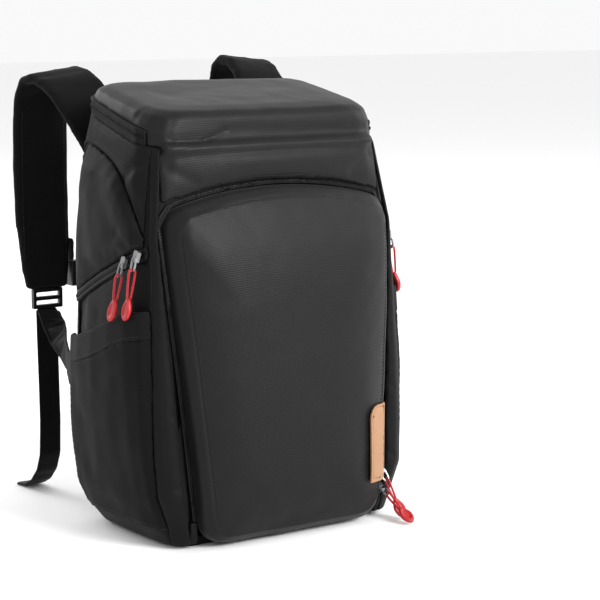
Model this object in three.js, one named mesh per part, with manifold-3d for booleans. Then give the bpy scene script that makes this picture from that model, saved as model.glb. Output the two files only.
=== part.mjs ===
// Camera backpack: a padded tub with a hinged lid, side doors, stretch side pockets, a front
// pocket, a zipped back panel, two padded shoulder straps and cord zip pulls.
// Millimetres. The front faces -Y, +Z is up and the origin is the middle of the flat base.
// Left and right are those of someone who looks at the front.

import * as THREE from 'three';
import { mergeVertices, toCreasedNormals } from 'three/addons/utils/BufferGeometryUtils.js';
import Module from 'manifold-3d';

const wasm = await Module();
wasm.setup();

// Whole bag
const bagWidth = 288;
const bagHeight = 438;
const bodyDepth = 164;
const rimBack = 410;
const rimFront = 377;
const cornerRadius = 16;
const sideCrown = 3;
const frontCrown = 3;
const seamGap = 0.35;

// Straight steps in each round corner and each wall of the body's outline
const cornerSteps = 3;
const wallSteps = 3;

// Walls
const padWall = 7;
const lidWall = 4.5;
const clothWall = 2.4;
const baseWall = 8;

// Lid
const lidFrontRise = 8;
const lidZipHeight = 11;
const lidZipFront = 16;
const lidZipProud = 1;

// Front pocket
const pocketTopWidth = 258;
const pocketLowWidth = 206;
const pocketBottom = 4;
const pocketShoulder = 320;
const pocketArch = 19;
const pocketCorner = 20;
const pocketGusset = 17;
const pocketCrown = 23;
const pocketZipWidth = 4;
const pocketZipProud = 2.2;
const pocketZipBottom = 26;
const channelTabBottom = 5;
const channelTabWidth = 7;

// Front band above the pocket
const bandCrown = 7;
const bandEdge = 2;

// Rolled ribs down the front corners
const ribTop = 338;
const ribBottom = 12;
const ribChannel = 6;
const ribProud = 9;
const ribTopWidth = 7;
const ribTaper = 24;

// Sides
const sideSeamBack = 380;
const sideSeamDrop = 92;
const doorArchFront = 283;
const doorArchBack = 226;
const doorArchCrown = 6;
const doorBottom = 46;
const doorCorner = 18;
const doorInset = 6;
const doorEdge = 0.95;
const sideBackInset = 10;
const sideFrontInset = 5;
const sidePanelCrown = 8;
const sideEdge = 2;
const sideZipWidth = 5;
const sideZipProud = 2;
const doorProud = 3;
const yokeEdge = 1.6;
const yokeCrown = 2.2;

// Stretch side pockets
const hemFront = 228;
const hemBack = 190;
const hemHeight = 26;
const pocketLift = 9;
const sidePocketBottom = 20;
const pocketEdge = 1.03;

// Back panel
const backPanelInset = 24;
const backPanelBottom = 26;
const backPanelTop = 386;
const backPanelCorner = 44;
const backPanelCrown = 9;
const backGrooveDepth = 5;
const backGrooveWidth = 0.07;
const backZipWidth = 6;
const backZipProud = 2;

// Grab handle
const handleSpan = 62;
const handleDrop = 12;
const handleReach = 24;

// Shoulder straps
const strapWidth = 61;
const strapThickness = 10;
const strapReach = 95;
const strapLift = 8;
const strapSink = 1.5;
const strapTilt = 0.13;

// Webbing, its ladder locks and the tabs that hold it at the base
const webWidth = 24;
const webThickness = 2;
const lockWidth = 34;
const lockHeight = 21;
const lockThickness = 5;
const lockBar = 4;
const strapTabHeight = 0.347 * bagHeight;
const strapTabLength = 24;
const strapTabWidth = 38;

// Chest strap halves that hang from the shoulder straps
const chestHeight = 0.612 * bagHeight;
const chestWebLength = 22;
const chestWebWidth = 18;
const buckleLength = 27;
const buckleWidth = 20;
const buckleThickness = 8;

// Zip pulls
const sliderLength = 11;
const sliderWidth = 8;
const sliderHeight = 4;
const bailLength = 15;
const bailWidth = 8;
const bailWire = 1.6;
const cordDiameter = 2.2;
const cordSteps = 13;
const tabLength = 22;
const tabWidth = 12.5;
const tabThickness = 4;

// Leather patch
const patchWidth = 26;
const patchHeight = 76;
const patchThickness = 1.8;
const patchBottom = 44;
const patchCorner = 12;

// Colours, roughness and metalness of the finishes
const finishes = {
  nylon: { color: 0x1b1b1d, roughness: 0.72, metalness: 0 },
  ripstop: { color: 0x202022, roughness: 0.62, metalness: 0 },
  stretch: { color: 0x1d1d1f, roughness: 0.85, metalness: 0 },
  mesh: { color: 0x161617, roughness: 0.9, metalness: 0 },
  webbing: { color: 0x111112, roughness: 0.8, metalness: 0 },
  zipper: { color: 0x0c0c0d, roughness: 0.55, metalness: 0 },
  plastic: { color: 0x0a0a0b, roughness: 0.4, metalness: 0 },
  leather: { color: 0xc79a6b, roughness: 0.6, metalness: 0 },
  steel: { color: 0x9a9a9c, roughness: 0.35, metalness: 1 },
  redCord: { color: 0xc01a1c, roughness: 0.6, metalness: 0 },
  redRubber: { color: 0xd11f22, roughness: 0.45, metalness: 0 },
};

// Sections of the body from the base up: height as a share of rimBack, half width of half the
// bag's width, front and back of half the body's depth, and front and back corners of the
// corner radius
const bodySections = [
  { height: 0.0, halfWidth: 0.83, front: 0.91, back: 0.86, frontCorner: 1.7, backCorner: 1.7 },
  { height: 0.012, halfWidth: 0.89, front: 0.95, back: 0.92, frontCorner: 1.7, backCorner: 1.7 },
  { height: 0.045, halfWidth: 0.955, front: 0.96, back: 0.98, frontCorner: 1.6, backCorner: 1.6 },
  { height: 0.11, halfWidth: 0.995, front: 0.94, back: 1.04, frontCorner: 1.3, backCorner: 1.3 },
  { height: 0.23, halfWidth: 1.015, front: 0.9, back: 1.06, frontCorner: 1.1, backCorner: 1.1 },
  { height: 0.38, halfWidth: 1.01, front: 0.86, back: 1.05, frontCorner: 1.0, backCorner: 1.0 },
  { height: 0.55, halfWidth: 0.99, front: 0.8, back: 1.03, frontCorner: 1.0, backCorner: 0.9 },
  { height: 0.7, halfWidth: 0.98, front: 0.74, back: 1.03, frontCorner: 1.0, backCorner: 0.8 },
  { height: 0.82, halfWidth: 0.95, front: 0.68, back: 1.03, frontCorner: 1.3, backCorner: 0.8 },
  { height: 0.92, halfWidth: 0.92, front: 0.64, back: 1.01, frontCorner: 1.6, backCorner: 0.9 },
  { height: 1.0, halfWidth: 0.89, front: 0.61, back: 0.97, frontCorner: 1.8, backCorner: 1.3 },
  { height: 1.1, halfWidth: 0.86, front: 0.58, back: 0.94, frontCorner: 1.8, backCorner: 1.5 },
];

// Rings of the lid from its rim to its top: rise as a share of the lid's height above the rim,
// inset as a share of the way to the middle
const lidRings = [
  { rise: 0.0, inset: 0.0 },
  { rise: 0.46, inset: 0.01 },
  { rise: 0.78, inset: 0.045 },
  { rise: 0.93, inset: 0.12 },
  { rise: 0.985, inset: 0.3 },
  { rise: 1.0, inset: 0.68 },
];

// Rings of the front pocket from the body outwards: inset as a share of the way to the middle,
// gusset and crown as shares of the pocket's gusset and crown
const pocketRings = [
  { inset: 0.0, gusset: -0.9, crown: 0.0 },
  { inset: 0.0, gusset: 0.1, crown: 0.0 },
  { inset: 0.012, gusset: 0.7, crown: 0.0 },
  { inset: 0.035, gusset: 1.0, crown: 0.06 },
  { inset: 0.11, gusset: 1.0, crown: 0.38 },
  { inset: 0.3, gusset: 1.0, crown: 0.76 },
  { inset: 0.6, gusset: 1.0, crown: 0.95 },
];

// Middle line of the left shoulder strap from its root: side as a share of half the bag's
// width, back as a share of the strap's reach behind its root, height as a share of the bag's
// height and width as a share of the strap's width
const strapLine = [
  { side: 0.42, back: 0.0, height: 0.74, width: 0.92 },
  { side: 0.5, back: 0.0, height: 0.8, width: 0.95 },
  { side: 0.62, back: 0.04, height: 0.86, width: 1.0 },
  { side: 0.72, back: 0.13, height: 0.925, width: 1.0 },
  { side: 0.765, back: 0.32, height: 0.972, width: 1.0 },
  { side: 0.785, back: 0.52, height: 0.996, width: 1.0 },
  { side: 0.8, back: 0.7, height: 1.004, width: 1.02 },
  { side: 0.81, back: 0.86, height: 0.99, width: 1.02 },
  { side: 0.815, back: 0.96, height: 0.95, width: 1.0 },
  { side: 0.815, back: 1.0, height: 0.88, width: 1.0 },
  { side: 0.815, back: 1.01, height: 0.78, width: 1.0 },
  { side: 0.81, back: 1.0, height: 0.66, width: 0.97 },
  { side: 0.8, back: 0.97, height: 0.55, width: 0.86 },
  { side: 0.8, back: 0.95, height: 0.5, width: 0.74 },
];

// Middle line of the webbing from the base tab to the ladder lock, and how its width turns
// from upright to level: shares of the way from one to the other
const strandLine = [
  { along: 0.0, level: 0.0 },
  { along: 0.2, level: 0.12 },
  { along: 0.45, level: 0.4 },
  { along: 0.7, level: 0.75 },
  { along: 0.88, level: 1.0 },
  { along: 1.0, level: 1.0 },
];

// The loose end below the ladder lock: how far it runs back and how high it lies, as shares
// of the lock's height above the floor
const tailLine = [
  { back: 0.0, height: 1.0 },
  { back: -0.01, height: 0.7 },
  { back: -0.02, height: 0.4 },
  { back: -0.01, height: 0.21 },
  { back: 0.03, height: 0.12 },
  { back: 0.1, height: 0.05 },
  { back: 0.18, height: 0.01 },
  { back: 0.27, height: 0.0 },
];

// The grab handle's loop: places along its half span, and out from the back as a share of its
// reach
const handleLine = [
  { side: -1, out: 0 },
  { side: -0.96, out: 0.35 },
  { side: -0.7, out: 0.85 },
  { side: 0, out: 1 },
  { side: 0.7, out: 0.85 },
  { side: 0.96, out: 0.35 },
  { side: 1, out: 0 },
];

// The cord's line beside the bail's end: along the pull, from the tab, and out of the cloth.
// Both are shares: of the stretch between tab and bail, and of the cord's spread
const cordLine = [
  { along: 0.0, out: 0.56 },
  { along: 0.35, out: 0.75 },
  { along: 0.75, out: 0.97 },
  { along: 1.0, out: 1.0 },
  { along: 1.0, out: 0.72, past: 0.72 },
  { along: 1.0, out: 0.0, past: 1.0 },
  { along: 1.0, out: -0.72, past: 0.72 },
  { along: 1.0, out: -1.0 },
  { along: 0.75, out: -0.97 },
  { along: 0.35, out: -0.75 },
  { along: 0.0, out: -0.56 },
];

// Side pulls: where along the side wall the slider sits, and where its tab's middle hangs
const sidePulls = [
  { name: 'front', slider: -0.84, tabShare: -0.77, aboveHem: 3.4 },
  { name: 'rear', slider: -0.46, tabShare: -0.43, aboveHem: 6.5 },
];

// Pulls at the lower right of the front pocket: the slider's height, and the place of the tab
// to the side of the pocket, in front of the body and above the floor
const pocketPulls = [
  { name: 'upper', slider: 49, tabSide: 16, tabFront: 22, tabHeight: 12 },
  { name: 'lower', slider: 31, tabSide: 11, tabFront: 38, tabHeight: 9 },
];

const { lerp, clamp, degToRad, smoothstep } = THREE.MathUtils;
const at = (x, y, z) => new THREE.Vector3(x, y, z);

// A closed mesh from points and triangles, turned so that its faces point outwards
function closedGeometry(points, triangles) {
  let volume = 0;
  for (const [a, b, c] of triangles) {
    volume += points[a].dot(at(0, 0, 0).crossVectors(points[b], points[c]));
  }
  const turned = volume < 0 ? triangles.map(([a, b, c]) => [a, c, b]) : triangles;
  const geometry = new THREE.BufferGeometry().setFromPoints(points);
  geometry.setIndex(turned.flat());
  return geometry;
}

// A closed mesh through rings of as many points each, flat at both ends
function loft(rings) {
  const count = rings[0].length;
  const points = rings.flat();
  const triangles = [];
  for (let row = 0; row + 1 < rings.length; row++) {
    for (let i = 0; i < count; i++) {
      const a = row * count + i;
      const b = row * count + (i + 1) % count;
      triangles.push([a, b, b + count], [a, b + count, a + count]);
    }
  }
  capRing(rings[0]).forEach(([a, b, c]) => triangles.push([a, c, b]));
  const last = (rings.length - 1) * count;
  capRing(rings.at(-1)).forEach(([a, b, c]) => triangles.push([a + last, b + last, c + last]));
  return closedGeometry(points, triangles);
}

// Triangles that fill a nearly flat ring, seen along its own normal and wound as the ring is
function capRing(ring) {
  const normal = at(0, 0, 0);
  ring.forEach((point, i) => {
    normal.add(at(0, 0, 0).crossVectors(point, ring[(i + 1) % ring.length]));
  });
  normal.normalize();
  const turn = new THREE.Quaternion().setFromUnitVectors(normal, at(0, 0, 1));
  const flat = ring.map((point) => point.clone().applyQuaternion(turn));
  return THREE.ShapeUtils.triangulateShape(flat.map((p) => new THREE.Vector2(p.x, p.y)), []);
}

// A closed slab between two grids of points, one for its outer and one for its inner face
function slab(outer, inner) {
  const rows = outer.length;
  const columns = outer[0].length;
  const points = [...outer.flat(), ...inner.flat()];
  const place = (face, row, column) => (face * rows + row) * columns + column;
  const triangles = [];
  const quad = (a, b, c, d) => triangles.push([a, b, c], [a, c, d]);
  for (let row = 0; row + 1 < rows; row++) {
    for (let column = 0; column + 1 < columns; column++) {
      const corner = (face) => [
        place(face, row, column),
        place(face, row, column + 1),
        place(face, row + 1, column + 1),
        place(face, row + 1, column),
      ];
      quad(...corner(0));
      quad(...corner(1).reverse());
    }
  }
  const border = [];
  for (let column = 0; column < columns - 1; column++) border.push([0, column]);
  for (let row = 0; row < rows - 1; row++) border.push([row, columns - 1]);
  for (let column = columns - 1; column > 0; column--) border.push([rows - 1, column]);
  for (let row = rows - 1; row > 0; row--) border.push([row, 0]);
  border.forEach(([row, column], i) => {
    const [nextRow, nextColumn] = border[(i + 1) % border.length];
    quad(
      place(0, nextRow, nextColumn),
      place(0, row, column),
      place(1, row, column),
      place(1, nextRow, nextColumn),
    );
  });
  return closedGeometry(points, triangles);
}

// A closed mesh as a solid that can be joined and cut
function solid(geometry) {
  const bare = new THREE.BufferGeometry();
  bare.setAttribute('position', geometry.getAttribute('position'));
  bare.setIndex(geometry.getIndex());
  const merged = mergeVertices(bare, 1e-4);
  return new wasm.Manifold(new wasm.Mesh({
    numProp: 3,
    vertProperties: new Float32Array(merged.getAttribute('position').array),
    triVerts: new Uint32Array(merged.getIndex().array),
  }));
}

// A solid as a mesh's geometry, with its sharp edges kept
function geometryOf(cut) {
  const { vertProperties, triVerts } = cut.getMesh();
  const geometry = new THREE.BufferGeometry();
  geometry.setAttribute('position', new THREE.BufferAttribute(new Float32Array(vertProperties), 3));
  geometry.setIndex(new THREE.BufferAttribute(new Uint32Array(triVerts), 1));
  return toCreasedNormals(geometry, degToRad(40));
}

// A flat outline pushed from one place to another along X, Y or Z
const prismBases = {
  x: [at(0, 1, 0), at(0, 0, 1), at(1, 0, 0)],
  y: [at(1, 0, 0), at(0, 0, 1), at(0, -1, 0)],
  z: [at(1, 0, 0), at(0, 1, 0), at(0, 0, 1)],
};

function prism(outline, axis, from, to) {
  const geometry = new THREE.ExtrudeGeometry(new THREE.Shape(outline), {
    depth: to - from,
    bevelEnabled: false,
  });
  geometry.applyMatrix4(new THREE.Matrix4().makeBasis(...prismBases[axis]));
  const shift = axis === 'y' ? at(0, to, 0) : prismBases[axis][2].clone().multiplyScalar(from);
  geometry.translate(shift.x, shift.y, shift.z);
  return solid(geometry);
}

function block(x, y, z) {
  const geometry = new THREE.BoxGeometry(x[1] - x[0], y[1] - y[0], z[1] - z[0]);
  geometry.translate((x[0] + x[1]) / 2, (y[0] + y[1]) / 2, (z[0] + z[1]) / 2);
  return solid(geometry);
}

// Points along a circle's arc, angles in degrees
function arc(x, y, radius, from, to, steps) {
  return Array.from({ length: steps + 1 }, (_, i) => {
    const angle = degToRad(lerp(from, to, i / steps));
    return new THREE.Vector2(x + radius * Math.cos(angle), y + radius * Math.sin(angle));
  });
}

function mirrored(geometry) {
  const copy = geometry.getIndex() ? geometry.clone() : mergeVertices(geometry);
  copy.scale(-1, 1, 1);
  const index = copy.getIndex();
  const turned = [];
  for (let i = 0; i < index.count; i += 3) {
    turned.push(index.getX(i), index.getX(i + 2), index.getX(i + 1));
  }
  copy.setIndex(turned);
  return copy;
}

// The body's section at a height, on straight lines between the rows of its table
function bodyAt(height) {
  const share = Math.max(height, 0) / rimBack;
  const next = clamp(
    bodySections.findIndex((row) => row.height > share), 1, bodySections.length - 1);
  const upper = bodySections.at(share >= bodySections.at(-1).height ? -1 : next);
  const lower = bodySections[bodySections.indexOf(upper) - 1];
  const t = (share - lower.height) / (upper.height - lower.height);
  return {
    halfWidth: lerp(lower.halfWidth, upper.halfWidth, t) * bagWidth / 2,
    front: lerp(lower.front, upper.front, t) * bodyDepth / 2,
    back: lerp(lower.back, upper.back, t) * bodyDepth / 2,
    frontCorner: lerp(lower.frontCorner, upper.frontCorner, t) * cornerRadius,
    backCorner: lerp(lower.backCorner, upper.backCorner, t) * cornerRadius,
  };
}

// The body's outline at a height, grown by an offset: round corners, and walls that crown a little
function bodyOutline(height, offset) {
  const { halfWidth, front, back, frontCorner, backCorner } = bodyAt(height);
  const right = halfWidth + offset;
  const quarters = [[1, 1], [-1, 1], [-1, -1], [1, -1]];
  const bends = quarters.map(([sideX, sideY], i) => {
    const depth = (sideY > 0 ? back : front) + offset;
    const radius = Math.max((sideY > 0 ? backCorner : frontCorner) + offset, 1);
    const x = sideX * (right - radius);
    const y = sideY * (depth - radius);
    return arc(x, y, radius, i * 90, i * 90 + 90, cornerSteps);
  });
  const points = bends.flatMap((bend, i) => {
    const end = bend.at(-1);
    const start = bends[(i + 1) % 4][0];
    const wall = Array.from({ length: wallSteps - 1 }, (_, k) => (
      end.clone().lerp(start, (k + 1) / wallSteps)));
    return [...bend, ...wall];
  });
  return points.map(({ x, y }) => {
    const depth = (y > 0 ? back : front) + offset;
    return new THREE.Vector2(
      x * (1 + sideCrown / halfWidth * (1 - (y / depth) ** 2)),
      y * (1 + frontCrown / depth * (1 - (x / right) ** 2)),
    );
  });
}

function bodyForm(offset, from, to) {
  const inside = bodySections.map((row) => row.height * rimBack).filter((z) => z > from && z < to);
  return solid(loft([from, ...inside, to].map((z) => (
    bodyOutline(z, offset).map(({ x, y }) => at(x, y, z))))));
}

// How far a wall lies from the middle: its half size, its crown, and its drop at a round corner
function wallAt(half, crown, along, reach, corner) {
  const past = clamp(Math.abs(along) - (reach - corner), 0, corner);
  const drop = corner - Math.sqrt(corner ** 2 - past ** 2);
  return half - drop + crown * (1 - Math.min(Math.abs(along) / reach, 1) ** 2);
}

function sideAt(y, z) {
  const { halfWidth, front, back, frontCorner, backCorner } = bodyAt(z);
  return y > 0 ? wallAt(halfWidth, sideCrown, y, back, backCorner)
    : wallAt(halfWidth, sideCrown, y, front, frontCorner);
}

function frontAt(x, z) {
  const { halfWidth, front, frontCorner } = bodyAt(z);
  return wallAt(front, frontCrown, x, halfWidth, frontCorner);
}

function backAt(x, z) {
  const { halfWidth, back, backCorner } = bodyAt(z);
  return wallAt(back, frontCrown, x, halfWidth, backCorner);
}

// A place along the side wall, from -1 at its front edge to 1 at its back edge
function sideY(share, z) {
  const { front, back } = bodyAt(z);
  return share * (share > 0 ? back - sideBackInset : front - sideFrontInset);
}

// The height of the tilted rim, which falls from the back to the front
function rimAt(y) {
  const { front, back } = bodyAt(rimBack);
  return rimFront + (rimBack - rimFront) * clamp((y + front) / (front + back), -0.2, 1.2);
}

const formTop = 1.09 * rimBack;
const far = 2 * bagHeight;

// Everything below the rim, lowered by a gap
function belowRim(gap) {
  const { front, back } = bodyAt(rimBack);
  const reach = 0.15 * (front + back);
  return prism([
    new THREE.Vector2(-front - reach, -far),
    new THREE.Vector2(back + reach, -far),
    new THREE.Vector2(back + reach, rimAt(back + reach) - gap),
    new THREE.Vector2(-front - reach, rimAt(-front - reach) - gap),
  ], 'x', -far, far);
}

const gapForm = bodyForm(seamGap, 0, formTop);

// The front pocket's outline on the front wall, grown by an offset
function pocketHalfWidth(z) {
  return lerp(pocketLowWidth, pocketTopWidth, smoothstep(z, pocketBottom, pocketShoulder) * 0.4
    + 0.6 * clamp((z - pocketBottom) / (pocketShoulder - pocketBottom), 0, 1)) / 2;
}

function pocketArchAt(x) {
  return pocketShoulder + pocketArch * (1 - (2 * x / pocketTopWidth) ** 2);
}

function pocketOutline(offset) {
  const sideSteps = 4;
  const archSteps = 8;
  const low = pocketBottom - offset;
  const radius = pocketCorner + offset;
  const lowHalf = pocketHalfWidth(pocketBottom) + offset;
  const topHalf = pocketTopWidth / 2 + offset;
  const upRight = Array.from({ length: sideSteps }, (_, i) => {
    const z = lerp(low + radius, pocketShoulder - pocketCorner, i / (sideSteps - 1));
    return new THREE.Vector2(pocketHalfWidth(z) + offset, z);
  });
  const archFrom = topHalf - radius * 0.55;
  const shoulder = new THREE.Vector2(topHalf - radius * 0.1, pocketShoulder - radius * 0.45 + offset);
  const arch = Array.from({ length: archSteps + 1 }, (_, i) => {
    const x = lerp(archFrom, -archFrom, i / archSteps);
    return new THREE.Vector2(x, pocketArchAt(x) + offset);
  });
  const left = (points) => points.map(({ x, y }) => new THREE.Vector2(-x, y)).reverse();
  const rightLow = arc(lowHalf - radius, low + radius, radius, -90, 0, 4).slice(0, -1);
  const rightSide = [...rightLow, ...upRight, shoulder];
  return [...rightSide, ...arch, ...left(rightSide)];
}

// The front pocket's outer form: the outline, pulled in towards its middle line ring by ring
function pocketForm(inset, deep) {
  const outline = pocketOutline(-inset);
  const middle = (pocketBottom + pocketShoulder) / 2;
  return solid(loft(pocketRings.map((ring) => outline.map(({ x, y: z }) => {
    const px = lerp(x, 0, ring.inset);
    const pz = lerp(z, middle, ring.inset);
    const depth = ring.gusset * pocketGusset + ring.crown * pocketCrown;
    return at(px, -frontAt(px, pz) - depth + deep, pz);
  }))));
}

const pack = new THREE.Group();

function add(name, shape, finish) {
  const geometry = shape.isBufferGeometry ? shape : geometryOf(shape);
  const mesh = new THREE.Mesh(geometry, new THREE.MeshStandardMaterial(finishes[finish]));
  mesh.name = name;
  pack.add(mesh);
}

// The same piece on the left, as made, and mirrored on the right
function addPair(name, shape, finish) {
  const geometry = shape.isBufferGeometry ? shape : geometryOf(shape);
  add(`${name}_left`, geometry, finish);
  add(`${name}_right`, mirrored(geometry), finish);
}

// Edge curves by their place along the side wall: the door's arch rises to the front, the seam
// of the upper panel falls, and the pocket's hem rises
const towardsFront = (share) => clamp((1 - share) / 2, 0, 1);

function archAt(share) {
  const t = towardsFront(share);
  return lerp(doorArchBack, doorArchFront, t) + doorArchCrown * Math.sin(Math.PI * t);
}

function seamAt(share) {
  const t = towardsFront(share);
  return sideSeamBack - sideSeamDrop * (0.25 * t + 0.75 * t ** 2.6);
}

function hemAt(share) {
  return lerp(hemBack, hemFront, smoothstep(towardsFront(share), 0, 1));
}

function doorOutline(offset) {
  const steps = 6;
  const arch = Array.from({ length: steps + 1 }, (_, i) => {
    const share = lerp(doorEdge, -doorEdge, i / steps);
    const z = archAt(share) - doorInset + offset;
    return new THREE.Vector2(sideY(share, z) + Math.sign(share) * offset, z);
  });
  const low = doorBottom - offset;
  const back = sideY(doorEdge, doorBottom) + offset;
  const front = sideY(-doorEdge, doorBottom) - offset;
  return [
    ...arc(front + doorCorner, low + doorCorner, doorCorner, 180, 270, 3),
    ...arc(back - doorCorner, low + doorCorner, doorCorner, 270, 360, 3),
    ...arch,
  ];
}

function backOutline(offset) {
  const half = bodyAt(backPanelBottom).halfWidth - backPanelInset + offset;
  const radius = backPanelCorner + offset;
  const low = backPanelBottom - offset;
  const high = backPanelTop + offset;
  const corners = [[half - radius, low + radius, -90], [half - radius, high - radius, 0],
    [radius - half, high - radius, 90], [radius - half, low + radius, 180]];
  return corners.flatMap(([x, z, from]) => arc(x, z, radius, from, from + 90, 4));
}

// Main shell: a padded tub, open at the tilted rim, at the back panel and at both side doors
const doorHole = prism(doorOutline(seamGap), 'x', -far, far);
const backHole = prism(backOutline(backZipWidth + seamGap), 'y', 0, far);
const mainShell = bodyForm(0, 0, formTop)
  .subtract(bodyForm(-padWall, baseWall, formTop + 1))
  .intersect(belowRim(0))
  .subtract(doorHole)
  .subtract(backHole);
add('main_shell', mainShell, 'nylon');

// Lid: a hollow cap with a tilted rim that starts above the zipper at the sides and back
function rimOutline(offset, rise) {
  const rough = bodyOutline((rimBack + rimFront) / 2, offset);
  return rough.map((point, i) => {
    const z = rimAt(point.y);
    const { x, y } = bodyOutline(z, offset)[i];
    return at(x, y, rimAt(y) + rise);
  });
}

function lidForm(inset, drop, below) {
  const { front, back } = bodyAt(rimBack);
  const middleY = (back - front) / 2;
  const rings = lidRings.map((ring) => rimOutline(-inset, 0).map((point) => {
    const x = lerp(point.x, 0, ring.inset);
    const y = lerp(point.y, middleY, ring.inset);
    const height = bagHeight - rimBack - seamGap + lidFrontRise * (back - y) / (back + front);
    return at(x, y, rimAt(y) + seamGap + ring.rise * (height - drop));
  }));
  const foot = rings[0].map((point) => at(point.x, point.y, point.z - below));
  return solid(loft(below > 0 ? [foot, ...rings] : rings));
}

function rimBand(offset, from, to) {
  return solid(loft([rimOutline(offset, from), rimOutline(offset, to)]));
}

const zipStart = -bodyAt(rimFront).front + lidZipFront;
const behindFront = (y) => block([-far, far], [y, far], [-far, far]);
const lidZone = rimBand(padWall, -seamGap, lidZipHeight + 2 * seamGap)
  .intersect(behindFront(zipStart - seamGap));
const lid = lidForm(0, 0, 0)
  .subtract(lidForm(lidWall, lidWall, 1))
  .subtract(lidZone);
add('lid', lid, 'nylon');

const lidZipper = rimBand(lidZipProud, seamGap, lidZipHeight + seamGap)
  .subtract(rimBand(lidZipProud - clothWall - lidWall, -1, lidZipHeight + 2))
  .intersect(behindFront(zipStart));
add('lid_zipper', lidZipper, 'zipper');

// Pads over a wall: columns across and rows up between two edge curves, crowned in the middle
function crownAt(u, v, edge, crown) {
  const round = (t) => Math.sqrt(Math.max(1 - (2 * t - 1) ** 4, 0));
  return edge + crown * round(u) * round(v);
}

function gridPad(columns, rows, placeAt, heightAt, depth) {
  const face = (liftAt) => Array.from({ length: rows + 1 }, (_, row) => (
    Array.from({ length: columns + 1 }, (_, column) => {
      const u = column / columns;
      const v = row / rows;
      return placeAt(u, v, liftAt(u, v));
    })));
  return solid(slab(face(heightAt), face(() => -depth)));
}

// A place on the left side wall, between two shares along it and two edge curves
function sidePlace(from, to, lower, upper) {
  return (u, v, lift) => {
    const share = lerp(from, to, u);
    const z = lerp(lower(share), upper(share), v);
    const y = sideY(share, z);
    return at(-sideAt(y, z) - lift, y, z);
  };
}

const sidePanel = gridPad(
  9, 6,
  sidePlace(1, -0.93, (share) => archAt(share) + sideZipWidth + seamGap, seamAt),
  (u, v) => crownAt(u, v, sideEdge, sidePanelCrown),
  clothWall,
).subtract(gapForm);
addPair('side_panel', sidePanel, 'nylon');

const yoke = gridPad(
  7, 3,
  sidePlace(0.9, -0.9, (share) => seamAt(share) + 4 * seamGap,
    (share) => rimAt(sideY(share, rimFront)) - 2),
  (u, v) => crownAt(u, v, yokeEdge, yokeCrown),
  clothWall,
).subtract(gapForm);
addPair('corner_yoke', yoke, 'nylon');

// Side zipper: a strip along the door's arch
const sideZipForm = (proud) => gridPad(
  9, 1,
  sidePlace(1, -0.98, (share) => archAt(share) - doorInset + 3 * seamGap,
    (share) => archAt(share) + sideZipWidth),
  () => proud,
  clothWall,
);
addPair('side_zipper', sideZipForm(sideZipProud).subtract(gapForm), 'zipper');

// Side door: a padded panel that fills its hole, with its outline's round lower corners
const doorForm = (grow) => gridPad(
  5, 5,
  sidePlace(1.06, -1.06, () => doorBottom - 4, (share) => archAt(share) + 4),
  (u, v) => grow + crownAt(u, v, 0, doorProud),
  padWall,
).intersect(prism(doorOutline(grow), 'x', -far, 0));
const doorGap = doorForm(seamGap);
addPair('side_door', doorForm(0), 'nylon');

// Ribs: rolled strips down the front corners that widen towards the base
function ribEdges(z) {
  const { halfWidth } = bodyAt(z);
  const channel = ribChannel * (1 - smoothstep(z, pocketBottom, pocketShoulder));
  const low = pocketHalfWidth(z) + pocketZipWidth + 3 * seamGap + channel;
  const above = smoothstep(z, pocketShoulder, ribTop);
  return {
    inner: lerp(low, halfWidth - 2 - ribTopWidth, above),
    outer: lerp(Math.max(halfWidth - 1, low + ribTopWidth), halfWidth - 2, above),
  };
}

function ribRing(z, grow) {
  const { front, frontCorner } = bodyAt(z);
  const { inner, outer } = ribEdges(z);
  const wide = (outer - inner) / 2 + grow;
  const proud = grow + ribProud * lerp(1, 0.4, smoothstep(z, pocketBottom, ribTop))
    * lerp(0.3, 1, smoothstep(z, ribBottom, ribBottom + ribTaper));
  const sides = 8;
  return Array.from({ length: sides }, (_, i) => {
    const angle = 2 * Math.PI * i / sides;
    const x = (inner + outer) / 2 + wide * Math.cos(angle);
    const back = frontCorner * 0.2 * Math.cos(angle);
    return at(-x, -front + back - proud * Math.sin(angle), z);
  });
}

function ribForm(grow) {
  const rows = 8;
  return solid(loft(Array.from({ length: rows + 1 }, (_, i) => (
    ribRing(lerp(ribBottom - grow, ribTop + grow, i / rows), grow)))));
}

const ribGap = ribForm(seamGap);
addPair('front_rib', ribForm(0).subtract(gapForm), 'nylon');

// Stretch side pocket: a sheet that gapes at its top and is sewn down at its sides and bottom
function pocketLiftAt(share, z) {
  const v = (z - sidePocketBottom) / (hemAt(share) - sidePocketBottom);
  const swell = Math.max(Math.sin(Math.PI * towardsFront(share / pocketEdge)), 0);
  return seamGap + swell ** 0.15 * (doorProud + seamGap) * smoothstep(v, -0.01, 0.06)
    + swell ** 0.4 * pocketLift * smoothstep(v, 0.02, 0.85);
}

function pocketSheet(rows, lower, upper) {
  const columns = 7;
  const face = (extra) => Array.from({ length: rows + 1 }, (_, row) => (
    Array.from({ length: columns + 1 }, (_, column) => {
      const share = pocketEdge * Math.sin(Math.PI * (0.5 - column / columns));
      const z = lerp(lower(share), upper(share), row / rows);
      const y = sideY(share, z);
      return at(-sideAt(y, z) - pocketLiftAt(share, z) - extra, y, z);
    })));
  return [gapForm, doorGap, ribGap].reduce(
    (sheet, form) => sheet.subtract(form), solid(slab(face(clothWall), face(0))));
}

const sidePocket = pocketSheet(6, () => sidePocketBottom, (share) => (
  hemAt(share) - hemHeight - seamGap));
addPair('side_pocket', sidePocket, 'stretch');
const sideHem = pocketSheet(2, (share) => hemAt(share) - hemHeight, hemAt);
addPair('side_pocket_hem', sideHem, 'webbing');

// Back panel: padded, in its own opening, with a zipper round its top and sides
const backHinge = backPanelBottom + backPanelCorner;

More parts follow.
